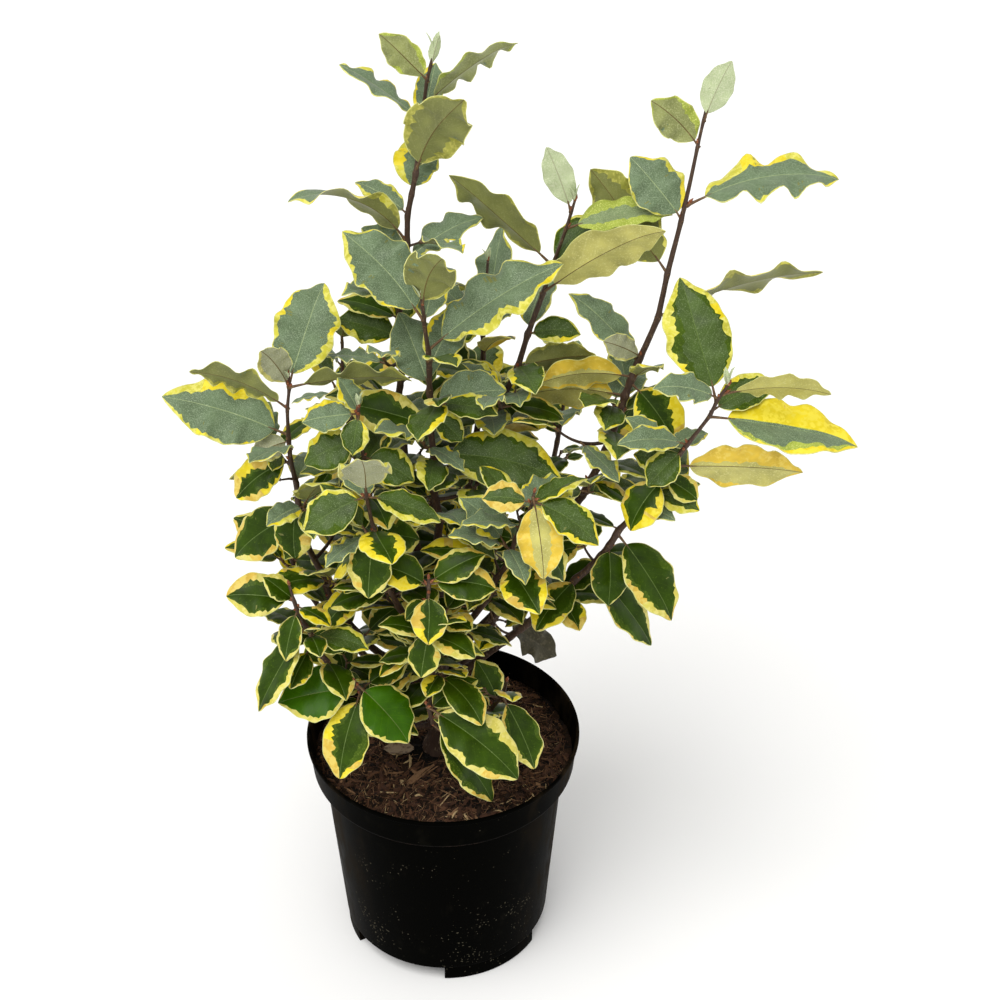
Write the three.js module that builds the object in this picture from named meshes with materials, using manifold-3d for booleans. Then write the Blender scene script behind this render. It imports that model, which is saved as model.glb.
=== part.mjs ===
// A young ebbinge silverberry with yellow-edged leaves, in a round three-litre nursery pot.
// Millimetres, +Z up. The origin is the centre of the pot's flat base; +X is the side of the
// longest low bough, -Y the front.
import * as THREE from 'three';
import Module from 'manifold-3d';

const wasm = await Module();
wasm.setup();

// Pot
const POT_HEIGHT = 174;
const RIM_RADIUS = 95;
const RIM_BAND = 25;
const RIM_TAPER = 3.5;
const WALL_TOP_RADIUS = 84.2;
const WALL_FOOT_RADIUS = 73.5;
const WALL = 1.8;
const BASE_RADIUS = 60;
const BASE_THICKNESS = 2.5;
const FOOT_HEIGHT = 10;
const FOOT_COUNT = 3;
const FOOT_SPAN = 60;
const POT_SIDES = 32;

// Soil
const SOIL_LEVEL = 157;
const SOIL_EDGE_DROP = 3;
const SOIL_FLAT_RADIUS = 22;

// Trunk: a leaning leader with a root flare, cut flat at the soil
const CLEAR = 0.3;
const TRUNK_FOOT = [-5, 0, SOIL_LEVEL + CLEAR];
const TRUNK_BEND = [0, 2, 250];
const TRUNK_TOP = [-1, -9, 312];
const TRUNK_RADIUS = [6.4, 3.0];
const FLARE_RADIUS = 3.4;
const FLARE_SHARE = 0.1;
const TRUNK_SIDES = 8;

// Leaves
const PETIOLE_SHARE = 0.13;
const PETIOLE_HALF = 0.75;
const PETIOLE_THICK = 1.3;
const LEAF_THICK_SHARE = 1 / 60;
const LEAF_THICK_LEAST = 1.2;
const LEAF_STATIONS = [0.3, 0.66];
const OUTLINE_FULLNESS = 1.06;
const FOLD = 14;
const STEP_ROUND = 137.5;
const KEEP_LEAF = 2.0;
const KEEP_STEM = 1.6;
const KEEP_OWN = 0.4;
const OWN_ROOM = 8;
const KEEP_SIDE = 1.8;

// Shoots. start is the place on the trunk, bend and tip give the curve, wood is the bare share
// that is a bough, radius is at foot and tip. Then the leaf rule: how many, over which share,
// the first heading, and length, rise and breadth from the lowest leaf to the highest.
// own are the leaves that stand out: share along the shoot, heading, rise, length, roll,
// breadth and droop.
const SHOOTS = [
  { name: 'tall_left', start: 0.67, bend: [-46, 14, 420], tip: [2, 30, 660], wood: 0.36, radius: [2.9, 1.1],
    count: 9, span: [0.42, 0.9], turn: 60, length: [50, 46], rise: [5, 40], broad: [0.52, 0.42], twigs: 1,
    own: [[0.96, 175, 45, 40, 90, 0.5, 20], [0.98, -25, 75, 20, -70, 0.45, 12],
      [0.93, 10, 34, 66, -48, 0.4, 26], [0.91, 175, 36, 58, 2, 0.4, 15],
      [0.84, -45, 55, 74, -60, 0.5, 18], [0.81, 75, 45, 40, 10, 0.68, 25],
      [0.74, 180, 22, 84, 48, 0.4, 88], [0.71, 10, 30, 56, 15, 0.42, 30],
      [0.71, 160, 35, 34, -35, 0.64, 25], [0.59, 175, 15, 42, -40, 0.57, 30],
      [0.62, 170, 15, 42, -15, 0.46, 30]] },
  { name: 'centre', start: 0.99, bend: [1, -17, 420], tip: [-7, -20, 528], wood: 0, radius: [2.6, 1.1],
    count: 8, span: [0.12, 0.9], turn: 200, length: [48, 46], rise: [0, 35], broad: [0.56, 0.44], twigs: 1,
    own: [[0.96, -60, 60, 54, -45, 0.6, 35], [0.92, 150, 40, 72, -30, 0.54, 22],
      [0.82, 15, 30, 98, 20, 0.4, 20], [0.69, 125, 50, 52, -10, 0.61, 20],
      [0.76, 60, 35, 46, 25, 0.55, 15], [0.47, -5, -10, 82, 40, 0.48, 30],
      [0.64, 5, 10, 48, 40, 0.62, 40], [0.56, 175, 15, 58, -40, 0.49, 30],
      [0.61, -15, -40, 26, 40, 0.68, 30]] },
  { name: 'centre_right', start: 0.63, bend: [24, 12, 385], tip: [84, 20, 570], wood: 0.36, radius: [2.8, 1.1],
    count: 8, span: [0.42, 0.88], turn: 90, length: [48, 46], rise: [0, 35], broad: [0.52, 0.43], twigs: 1,
    own: [[0.885, 175, 43, 84, 58, 0.4, 8], [0.98, 180, 70, 45, 95, 0.52, 15],
      [0.95, 0, 10, 66, 15, 0.42, 25], [0.83, -22, 38, 98, -60, 0.38, 15],
      [0.75, 0, 0, 34, 40, 0.53, 40], [0.68, 0, 10, 52, -85, 0.45, 30]] },
  { name: 'tall_right', start: 0.44, bend: [126, -6, 363], tip: [159, 20, 632], wood: 0.4, radius: [3.1, 1.1],
    count: 8, span: [0.43, 0.64], turn: 20, length: [48, 48], rise: [-5, 35], broad: [0.52, 0.43], twigs: 1,
    own: [[0.98, -25, 70, 42, -80, 0.55, 12], [0.95, 180, 45, 42, 100, 0.55, 25],
      [0.88, 5, 10, 94, 10, 0.38, 40], [0.86, 145, 40, 50, -35, 0.65, 25],
      [0.79, 160, 38, 80, 105, 0.52, 12], [0.73, 5, 15, 106, -45, 0.34, 30],
      [0.66, 165, 44, 64, -28, 0.36, 30], [0.67, 165, 35, 36, 105, 0.46, 25],
      [0.64, 180, -5, 64, 75, 0.42, 45], [0.61, 175, -15, 76, 75, 0.42, 30],
      [0.63, -35, -45, 48, 30, 0.68, 30]] },
  { name: 'low_right', start: 0.32, bend: [101, -14, 301], tip: [175, -42, 480], wood: 0.28, radius: [3.1, 1.1],
    count: 8, span: [0.4, 0.94], turn: 100, length: [44, 46], rise: [-20, 20], broad: [0.56, 0.46], twigs: 0,
    own: [[0.98, 0, 0, 66, -60, 0.4, 35], [0.96, 115, 50, 80, -10, 0.51, 20],
      [0.93, -5, -10, 94, 15, 0.44, 18], [0.81, 3, -5, 82, -80, 0.42, 12],
      [0.94, 5, 10, 48, 40, 0.46, 30], [0.85, -155, -40, 32, -30, 0.68, 35],
      [0.81, 180, 5, 26, -40, 0.68, 30], [0.78, -145, -50, 40, -20, 0.68, 30],
      [0.78, -15, -30, 26, 40, 0.68, 30], [0.59, -90, -60, 40, -15, 0.68, 20],
      [0.62, -40, -45, 66, 10, 0.54, 22], [0.52, -22, -50, 70, 8, 0.45, 22],
      [0.4, -25, -35, 22, 30, 0.68, 25], [0.25, -5, -35, 24, -125, 0.6, 25],
      [0.97, 158, 22, 48, -35, 0.4, 30], [0.74, -20, -12, 32, 30, 0.6, 35]] },
  { name: 'left', start: 0.335, bend: [-102, -16, 267], tip: [-88, -22, 474], wood: 0.42, radius: [2.9, 1.1],
    count: 7, span: [0.48, 0.94], turn: 250, length: [42, 44], rise: [-20, 20], broad: [0.58, 0.5], twigs: 1,
    own: [[0.98, 60, 50, 68, 15, 0.59, 20], [0.94, 175, 22, 66, 66, 0.38, 45],
      [0.89, 175, 18, 82, -40, 0.51, 12], [0.98, -130, 60, 42, 70, 0.5, 25],
      [0.98, 0, 5, 76, -55, 0.36, 25], [0.84, -165, -30, 44, -40, 0.58, 35],
      [0.75, -100, -60, 38, 5, 0.68, 30], [0.72, -180, -38, 58, -38, 0.56, 30],
      [0.88, 175, -20, 26, 115, 0.68, 30]] },
  { name: 'lower_left', start: 0.2, bend: [-72, -46, 222], tip: [-92, -60, 345], wood: 0.4, radius: [2.5, 1.1],
    count: 6, span: [0.5, 0.92], turn: 10, length: [36, 32], rise: [-35, 5], broad: [0.6, 0.58], twigs: 0,
    own: [[0.94, 180, 5, 44, -35, 0.67, 35], [0.94, 150, 40, 26, -20, 0.68, 25],
      [0.91, -120, -60, 36, 0, 0.5, 35], [0.84, -140, -50, 64, 0, 0.42, 15],
      [0.81, -15, -25, 26, 30, 0.68, 35]] },
  { name: 'front', start: 0.37, bend: [-6, -66, 250], tip: [-4, -80, 365], wood: 0, radius: [2.2, 1.0],
    count: 7, span: [0.35, 0.9], turn: 130, length: [36, 40], rise: [-30, 0], broad: [0.62, 0.6], twigs: 0,
    own: [[0.97, 170, 20, 36, -30, 0.68, 30], [0.98, 0, -5, 42, 35, 0.58, 30],
      [0.98, 15, 25, 40, 30, 0.52, 30], [0.95, -90, -60, 34, 15, 0.68, 30],
      [0.91, -150, -40, 20, -25, 0.68, 30], [0.78, -110, -60, 32, 0, 0.68, 30]] },
  { name: 'front_low_left', start: 0.12, bend: [-34, -48, 205], tip: [-54, -62, 268], wood: 0, radius: [2.2, 1.0],
    count: 3, span: [0.5, 0.86], turn: 60, length: [38, 38], rise: [-20, 10], broad: [0.6, 0.6], twigs: 0,
    own: [[0.95, -175, -10, 54, -35, 0.68, 25], [0.98, -30, -40, 52, 20, 0.68, 25],
      [0.92, -115, -55, 60, -10, 0.5, 30]] },
  { name: 'front_low', start: 0.22, bend: [-4, -52, 205], tip: [-8, -72, 258], wood: 0, radius: [2.2, 1.0],
    count: 3, span: [0.45, 0.9], turn: 150, length: [36, 36], rise: [-10, 20], broad: [0.6, 0.55], twigs: 0,
    own: [[0.97, -25, -30, 76, 28, 0.5, 22], [0.78, 0, 5, 16, 30, 0.68, 30],
      [0.65, -25, -50, 70, 10, 0.46, 25]] },
  { name: 'front_low_right', start: 0.16, bend: [34, -44, 205], tip: [44, -54, 262], wood: 0, radius: [2.2, 1.0],
    count: 3, span: [0.5, 0.88], turn: 20, length: [38, 38], rise: [-20, 20], broad: [0.58, 0.55], twigs: 0,
    own: [[0.86, -50, -50, 54, 10, 0.46, 22], [0.78, 135, 50, 32, -15, 0.68, 30]] },
  { name: 'mid_left', start: 0.48, bend: [-34, -54, 320], tip: [-41, -72, 430], wood: 0, radius: [2.4, 1.0],
    count: 7, span: [0.3, 0.92], turn: 330, length: [42, 44], rise: [-20, 15], broad: [0.6, 0.54], twigs: 0,
    own: [[0.96, -90, 60, 46, 5, 0.68, 30], [0.95, -165, -25, 44, -40, 0.6, 30],
      [0.95, -5, -20, 48, 15, 0.46, 30], [0.82, -100, -60, 44, 5, 0.64, 30],
      [0.77, -135, -50, 52, -20, 0.63, 30], [0.79, -15, -25, 34, 35, 0.68, 30]] },
  { name: 'mid_right', start: 0.52, bend: [42, -50, 330], tip: [60, -74, 425], wood: 0, radius: [2.4, 1.0],
    count: 7, span: [0.35, 0.92], turn: 220, length: [42, 44], rise: [-20, 15], broad: [0.58, 0.52], twigs: 0,
    own: [[0.98, -60, -75, 54, -150, 0.51, 20], [0.96, -15, -30, 50, 25, 0.5, 30],
      [0.95, 180, 5, 30, -35, 0.68, 30], [0.76, -180, -5, 28, -35, 0.68, 30],
      [0.84, -35, -55, 48, 30, 0.47, 30]] },
  { name: 'upper_left', start: 0.58, bend: [-48, -24, 330], tip: [-45, -38, 462], wood: 0, radius: [2.4, 1.0],
    count: 7, span: [0.35, 0.9], turn: 110, length: [42, 44], rise: [-15, 20], broad: [0.58, 0.5], twigs: 1,
    own: [[0.98, -180, -10, 36, -40, 0.57, 25], [0.98, 125, 55, 26, -5, 0.68, 25],
      [0.98, -110, -60, 26, -5, 0.68, 30], [0.9, -170, -20, 38, -40, 0.68, 30],
      [0.85, -10, -25, 36, 35, 0.68, 30]] },
  { name: 'back', start: 0.56, bend: [24, 50, 330], tip: [32, 62, 508], wood: 0.36, radius: [2.7, 1.1],
    count: 11, span: [0.42, 0.97], turn: 75, length: [50, 50], rise: [0, 45], broad: [0.54, 0.45], twigs: 1,
    own: [[0.83, 75, 55, 78, -20, 0.36, 15]] },
  { name: 'back_left', start: 0.4, bend: [-62, 58, 290], tip: [-64, 80, 448], wood: 0.38, radius: [2.7, 1.1],
    count: 10, span: [0.42, 0.97], turn: 140, length: [48, 50], rise: [-10, 40], broad: [0.58, 0.5], twigs: 1,
    own: [] },
  { name: 'back_right', start: 0.29, bend: [80, 66, 265], tip: [84, 90, 425], wood: 0.38, radius: [2.7, 1.1],
    count: 10, span: [0.42, 0.97], turn: 50, length: [48, 50], rise: [-10, 40], broad: [0.58, 0.5], twigs: 1,
    own: [] },
  { name: 'back_low', start: 0.15, bend: [10, 96, 225], tip: [14, 118, 345], wood: 0.3, radius: [2.5, 1.1],
    count: 9, span: [0.4, 0.97], turn: 95, length: [44, 44], rise: [-30, 30], broad: [0.6, 0.54], twigs: 1,
    own: [] },
  { name: 'lower_back_left', start: 0.24, bend: [-92, 32, 225], tip: [-112, 44, 325], wood: 0.42, radius: [2.5, 1.1],
    count: 7, span: [0.5, 0.97], turn: 170, length: [40, 42], rise: [-30, 20], broad: [0.6, 0.56], twigs: 0,
    own: [] },
];

// Side twigs on a shoot
const TWIG_LENGTH = [34, 46];
const TWIG_RISE = 30;
const TWIG_RADIUS = [1.3, 0.8];
const TWIG_LEAVES = 3;

// What stands out of the crown is left off: a leaf keeps over the soil, off the rim, and inside
// the crown's widths and height.
const OVER_SOIL = SOIL_LEVEL + 5;
const OVER_RIM = POT_HEIGHT + 5;
const CROWN = { left: -178, right: 262, front: -135, back: 172, top: 690, low: 176 };

// Where sky shows between the boughs: x and z in the plane of the trunk as seen from the eye, and
// the radius that the leaves of the rule keep open
const EYE = [40, -1056, 1101];
const OPENINGS = [
  [72, 414, 14], [87, 405, 9], [94, 433, 5], [47, 475, 6], [43, 546, 8], [-62, 427, 8], [-78, 459, 6],
  [-113, 367, 7], [-111, 315, 6], [-125, 271, 6], [-55, 268, 5], [25, 276, 5], [56, 346, 4], [100, 272, 4],
];
const OPENING_STEPS = 6;

const DEG = Math.PI / 180;

function chance(seed) {
  let state = (seed * 7919 + 12345) % 4294967296;
  const next = () => {
    state = (state * 1664525 + 1013904223) % 4294967296;
    return state / 4294967296;
  };
  next();
  next();
  next();
  return next;
}

function mix(a, b, share) {
  return a + (b - a) * share;
}

function add(a, b, scale = 1) {
  return [a[0] + b[0] * scale, a[1] + b[1] * scale, a[2] + b[2] * scale];
}

function cross(a, b) {
  return [a[1] * b[2] - a[2] * b[1], a[2] * b[0] - a[0] * b[2], a[0] * b[1] - a[1] * b[0]];
}

function dot(a, b) {
  return a[0] * b[0] + a[1] * b[1] + a[2] * b[2];
}

function unit(a) {
  const size = Math.hypot(a[0], a[1], a[2]);
  return [a[0] / size, a[1] / size, a[2] / size];
}

function aim(heading, rise) {
  const level = Math.cos(rise * DEG);
  return [level * Math.cos(heading * DEG), level * Math.sin(heading * DEG), Math.sin(rise * DEG)];
}

// A curve through foot and tip, drawn towards bend
function arc(foot, bend, tip) {
  return (s) => [0, 1, 2].map((k) => (1 - s) ** 2 * foot[k] + 2 * s * (1 - s) * bend[k] + s * s * tip[k]);
}

function along(curve, s) {
  return unit(add(curve(s + 0.005), curve(s - 0.005), -1));
}

// A closed body from rings of points and an optional end point
function closedBody(rings, point) {
  const places = rings.flat();
  const faces = [];
  const sides = rings[0].length;
  for (let r = 0; r + 1 < rings.length; r += 1) {
    for (let k = 0; k < sides; k += 1) {
      const a = r * sides + k;
      const b = r * sides + ((k + 1) % sides);
      faces.push([a, b, b + sides], [a, b + sides, a + sides]);
    }
  }
  for (let k = 1; k + 1 < sides; k += 1) {
    faces.push([0, k + 1, k]);
  }
  const last = (rings.length - 1) * sides;
  if (point) {
    places.push(point);
    for (let k = 0; k < sides; k += 1) {
      faces.push([last + k, last + ((k + 1) % sides), places.length - 1]);
    }
  } else {
    for (let k = 1; k + 1 < sides; k += 1) {
      faces.push([last, last + k, last + k + 1]);
    }
  }
  let volume = 0;
  for (const [a, b, c] of faces) {
    volume += dot(places[a], cross(places[b], places[c]));
  }
  if (volume < 0) {
    faces.forEach((face) => face.reverse());
  }
  return solid(places, faces);
}

function solid(places, faces) {
  return new wasm.Manifold(new wasm.Mesh({
    numProp: 3,
    vertProperties: new Float32Array(places.flat()),
    triVerts: new Uint32Array(faces.flat()),
  }));
}

// A tapering limb with flat ends, from share a to share b of its curve
function limb(curve, a, b, radiusAt, sides, steps, grow = 0) {
  const rings = [];
  let side = unit(cross(along(curve, a), [0.31, 0.95, 0.05]));
  for (let i = 0; i <= steps; i += 1) {
    const s = mix(a, b, i / steps);
    const ahead = along(curve, s);
    side = unit(add(side, ahead, -dot(side, ahead)));
    const over = cross(ahead, side);
    const end = i === 0 ? -grow : i === steps ? grow : 0;
    const centre = add(curve(s), ahead, end);
    const radius = radiusAt(s) + grow;
    const ring = [];
    for (let k = 0; k < sides; k += 1) {
      const turn = (2 * Math.PI * k) / sides;
      ring.push(add(add(centre, side, radius * Math.cos(turn)), over, radius * Math.sin(turn)));
    }
    rings.push(ring);
  }
  return closedBody(rings);
}

// The leaf's mid line, its frame and its half breadth at share t of its length
function leafFrame(leaf, t) {
  const lift = (leaf.rise + leaf.droop / 2) * DEG;
  const fall = leaf.droop * DEG;
  const pitch = lift - fall * t;
  const out = (leaf.length * (Math.sin(lift) - Math.sin(pitch))) / fall;
  const up = (leaf.length * (Math.cos(pitch) - Math.cos(lift))) / fall;
  const c = Math.cos(leaf.heading * DEG);
  const n = Math.sin(leaf.heading * DEG);
  const roll = (leaf.roll + leaf.twist * (t - 0.5)) * DEG;
  const flat = [-n, c, 0];
  const over = [-c * Math.sin(pitch), -n * Math.sin(pitch), Math.cos(pitch)];
  const u = Math.max(0, (t - PETIOLE_SHARE) / (1 - PETIOLE_SHARE));
  return {
    place: [leaf.root[0] + out * c, leaf.root[1] + out * n, leaf.root[2] + up],
    side: add([0, 0, 0].map((_, k) => flat[k] * Math.cos(roll)), over, Math.sin(roll)),
    top: add([0, 0, 0].map((_, k) => over[k] * Math.cos(roll)), flat, -Math.sin(roll)),
    half: leaf.length * leaf.broad * 0.5 * 2.79 * u ** 0.65 * (1 - u) ** 0.85,
  };
}

function bladeShare(u) {
  return PETIOLE_SHARE + u * (1 - PETIOLE_SHARE);
}

function leafBody(leaf) {
  const thick = Math.max(LEAF_THICK_LEAST, leaf.length * LEAF_THICK_SHARE) / 2;
  const ringAt = (t, half, deep, fold) => {
    const f = leafFrame(leaf, t);
    const wide = half * Math.cos(fold * DEG);
    const high = half * Math.sin(fold * DEG);
    return [
      add(add(f.place, f.side, wide), f.top, high),
      add(f.place, f.top, -deep),
      add(add(f.place, f.side, -wide), f.top, high),
      add(f.place, f.top, deep),
    ];
  };
  const rings = [
    ringAt(0, PETIOLE_HALF, PETIOLE_THICK / 2, 0),
    ringAt(PETIOLE_SHARE, PETIOLE_HALF, PETIOLE_THICK / 2, 0),
  ];
  for (const u of LEAF_STATIONS) {
    const t = bladeShare(u);
    rings.push(ringAt(t, leafFrame(leaf, t).half * OUTLINE_FULLNESS, thick, FOLD));
  }
  return closedBody(rings, leafFrame(leaf, 1).place);
}

// The room a leaf needs: a thin sheet for its neighbours, or a thick one for itself
function sheet(leaf, keep, beyond) {
  const shell = [[], [], []];
  const heights = [0, keep, -keep];
  const lay = (f, wide, high) => {
    heights.forEach((h, i) => {
      shell[i].push(add(add(f.place, f.side, wide), f.top, high + h));
    });
  };
  lay(leafFrame(leaf, PETIOLE_SHARE), 0, 0);
  for (const u of LEAF_STATIONS) {
    const f = leafFrame(leaf, bladeShare(u));
    const half = f.half * OUTLINE_FULLNESS + beyond;
    const wide = half * Math.cos(FOLD * DEG);
    const high = half * Math.sin(FOLD * DEG);
    lay(f, wide, high);
    lay(f, 0, 0);
    lay(f, -wide, high);
  }
  lay(leafFrame(leaf, 1 + beyond / leaf.length), 0, 0);
  return shell;
}

const SHEET_FACES = [[0, 1, 2], [0, 2, 3], [1, 4, 2], [2, 4, 5], [2, 5, 3], [3, 5, 6], [4, 7, 5], [5, 7, 6]];
const SHEET_LINES = [[0, 1], [0, 2], [0, 3], [1, 2], [2, 3], [1, 4], [2, 4], [2, 5], [3, 5], [3, 6], [4, 5], [5, 6],
  [4, 7], [5, 7], [6, 7]];
const SHEET_RIM = [0, 1, 4, 7, 6, 3];

function pierces(p, q, tri) {
  const [a, b, c] = tri;
  const e = add(b, a, -1);
  const g = add(c, a, -1);
  const d = add(q, p, -1);
  const h = cross(d, g);
  const det = dot(e, h);
  if (Math.abs(det) < 1e-9) {
    return false;
  }
  const s = add(p, a, -1);
  const u = dot(s, h) / det;
  if (u < 0 || u > 1) {
    return false;
  }
  const w = cross(s, e);
  const v = dot(d, w) / det;
  if (v < 0 || u + v > 1) {
    return false;
  }
  const t = dot(g, w) / det;
  return t >= 0 && t <= 1;
}

function thickRoom(leaf, keep, beyond) {
  const [, over, under] = sheet(leaf, keep, beyond);
  const faces = [];
  const lines = [];
  for (const layer of [over, under]) {
    SHEET_FACES.forEach((f) => faces.push(f.map((k) => layer[k])));
    SHEET_LINES.forEach((f) => lines.push(f.map((k) => layer[k])));
  }
  SHEET_RIM.forEach((k, i) => {
    const m = SHEET_RIM[(i + 1) % SHEET_RIM.length];
    faces.push([over[k], over[m], under[k]], [under[k], over[m], under[m]]);
    lines.push([over[k], under[k]]);
  });
  return { faces, lines };
}

function thinRoom(leaf) {
  const [middle] = sheet(leaf, 0, 0);
  const stalk = [leafFrame(leaf, 0.04).place, middle[0]];
  return {
    faces: SHEET_FACES.map((f) => f.map((k) => middle[k])),
    lines: [...SHEET_LINES.map((f) => f.map((k) => middle[k])), stalk],
    stalk,
    centre: middle[2],
    reach: leaf.length,
  };
}

const placedLeaves = [];
const placedStems = [];

function roomFor(leaf) {
  for (let t = 0.2; t <= 1.001; t += 0.2) {
    const f = leafFrame(leaf, Math.min(t, 1));
    for (const wide of [-f.half, 0, f.half]) {
      const [x, y, z] = add(f.place, f.side, wide);
      const from = Math.hypot(x, y);
      if (from < RIM_RADIUS + 6 && z < (from < RIM_RADIUS - 12 ? OVER_SOIL : OVER_RIM)) {
        return false;
      }
      if (x < CROWN.left || x > CROWN.right || y < CROWN.front || y > CROWN.back) {
        return false;
      }
      if (z > CROWN.top || z < CROWN.low && from > RIM_RADIUS) {
        return false;
      }
    }
  }
  const thin = thinRoom(leaf);
  const thick = thickRoom(leaf, KEEP_LEAF, KEEP_SIDE);
  for (const other of placedLeaves) {
    const apart = add(other.centre, thin.centre, -1);
    if (Math.hypot(...apart) > other.reach + thin.reach) {
      continue;
    }
    if (other.lines.some(([p, q]) => thick.faces.some((face) => pierces(p, q, face)))) {
      return false;
    }
    if ([...thick.lines, thin.stalk].some(([p, q]) => other.faces.some((face) => pierces(p, q, face)))) {
      return false;
    }
  }
  for (const stem of placedStems) {
    const own = stem.id === leaf.stem;
    const skip = OWN_ROOM / stem.size;
    const lines = own ? [...stemLines(stem, stem.a, leaf.at - skip, 6), ...stemLines(stem, leaf.at + skip, stem.b, 6)]
      : stem.lines;
    for (const [p, q, radius] of lines) {
      const apart = add(p, thin.centre, -1);
      if (Math.hypot(...apart) > thin.reach + 40) {
        continue;
      }
      const keep = (own ? KEEP_OWN : KEEP_STEM) + radius;
      const room = thickRoom(leaf, keep, own ? 0 : keep);
      if (room.faces.some((face) => pierces(p, q, face))) {
        return false;
      }
      if (!own && nearLines(p, q, ...thin.stalk) < radius + KEEP_STEM) {
        return false;
      }
    }
  }
  return true;
}

function nearLines(a, b, c, d) {
  let least = Infinity;
  for (let i = 0; i <= 6; i += 1) {
    const p = add(a, add(b, a, -1), i / 6);
    const e = add(d, c, -1);
    const share = Math.min(1, Math.max(0, dot(add(p, c, -1), e) / dot(e, e)));
    least = Math.min(least, Math.hypot(...add(p, add(c, e, share), -1)));
  }
  return least;
}

// The pieces of a stem that leaves keep clear of, each with its radius
function stemLines(stem, a, b, steps) {
  const lines = [];
  for (let i = 0; b > a && i < steps; i += 1) {
    const radius = stem.radiusAt(mix(a, b, (i + 0.5) / steps));
    lines.push([stem.curve(mix(a, b, i / steps)), stem.curve(mix(a, b, (i + 1) / steps)), radius]);
  }
  return lines;
}

function stemRoom(id, curve, a, b, radiusAt) {
  const stem = { id, curve, a, b, radiusAt };
  placedStems.push({ ...stem, size: Math.hypot(...add(curve(b), curve(a), -1)), lines: stemLines(stem, a, b, 12) });
}

// Lines of sight through the middle and round the edge of each opening
const SIGHTS = OPENINGS.flatMap(([x, z, radius]) => {
  const ahead = unit(add([x, 0, z], EYE, -1));
  const over = unit(cross([1, 0, 0], ahead));
  const through = [add([x, 0, z], ahead, 600)];
  for (let k = 0; k < OPENING_STEPS; k += 1) {
    const turn = (2 * Math.PI * k) / OPENING_STEPS;
    const beside = add(through[0], [1, 0, 0], radius * Math.cos(turn));
    through.push(add(beside, over, radius * Math.sin(turn)));
  }
  return through;
});

function closesOpening(leaf) {
  const { faces } = thinRoom(leaf);
  return SIGHTS.some((far) => faces.some((face) => pierces(EYE, far, face)));
}

// Where a leaf doesn't fit, it turns aside a little at a time
const TURNS = [0, 22, -22, 44, -44, 70, -70];

function place(leaf) {
  for (const turn of TURNS) {
    const tried = { ...leaf, heading: leaf.heading + turn };
    if ((tried.own || !closesOpening(tried)) && roomFor(tried)) {
      placedLeaves.push({ ...thinRoom(tried), leaf: tried });
      return true;
    }
  }
  return false;
}

const trunkCurve = arc(TRUNK_FOOT, TRUNK_BEND, TRUNK_TOP);
const trunkRadius = (s) => mix(TRUNK_RADIUS[0], TRUNK_RADIUS[1], s)
  + FLARE_RADIUS * Math.max(0, 1 - s / FLARE_SHARE) ** 2;
stemRoom('trunk', trunkCurve, 0, 1, trunkRadius);

const shoots = SHOOTS.map((shoot, index) => {
  const curve = arc(trunkCurve(shoot.start), shoot.bend, shoot.tip);
  const radiusAt = (s) => mix(shoot.radius[0], shoot.radius[1], s);
  stemRoom(`bough ${index}`, curve, 0, shoot.wood, radiusAt);
  stemRoom(index, curve, shoot.wood, 1, radiusAt);
  return { ...shoot, index, curve, stems: [], radiusAt };
});

// The leaves that stand out come first
for (const shoot of shoots) {
  shoot.own.forEach(([at, heading, rise, length, roll, broad, droop], k) => {
    const next = chance(shoot.index * 1000 + k);
    place({
      stem: shoot.index, shoot: shoot.index, at, root: shoot.curve(at), heading, rise, length, roll, broad,
      droop, twist: mix(-14, 14, next()), own: true,
    });
  });
}

// Then the side twigs, each a short shoot of its own
for (const shoot of shoots) {
  for (let k = 0; k < shoot.twigs; k += 1) {
    const next = chance(shoot.index * 1000 + 300 + k);
    const at = mix(Math.max(shoot.wood + 0.08, 0.3), 0.72, (k + next()) / shoot.twigs);
    const heading = shoot.turn + 180 + STEP_ROUND * k + mix(-30, 30, next());
    const length = mix(TWIG_LENGTH[0], TWIG_LENGTH[1], next());
    const foot = shoot.curve(at);
    const bend = add(foot, aim(heading, 5), length * 0.5);
    const tip = add(foot, aim(heading, TWIG_RISE), length);
    const curve = arc(foot, bend, tip);
    const id = `${shoot.index}-${k}`;
    const blocked = placedLeaves.some((other) => other.faces.some((face) => pierces(foot, bend, face)
      || pierces(bend, tip, face) || pierces(foot, tip, face)));
    const near = placedStems.some((stem) => stem.id !== shoot.index
      && stem.lines.some(([p, q, radius]) => nearLines(p, q, bend, tip) < radius + 5
        || nearLines(p, q, curve(0.15), bend) < radius + 3));
    if (blocked || near) {
      continue;
    }
    const radiusAt = (s) => mix(TWIG_RADIUS[0], TWIG_RADIUS[1], s);
    stemRoom(id, curve, 0.15, 1, radiusAt);
    shoot.stems.push({ id, curve, radiusAt, heading, seed: shoot.index * 1000 + 400 + k * 50 });
  }
}

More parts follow.
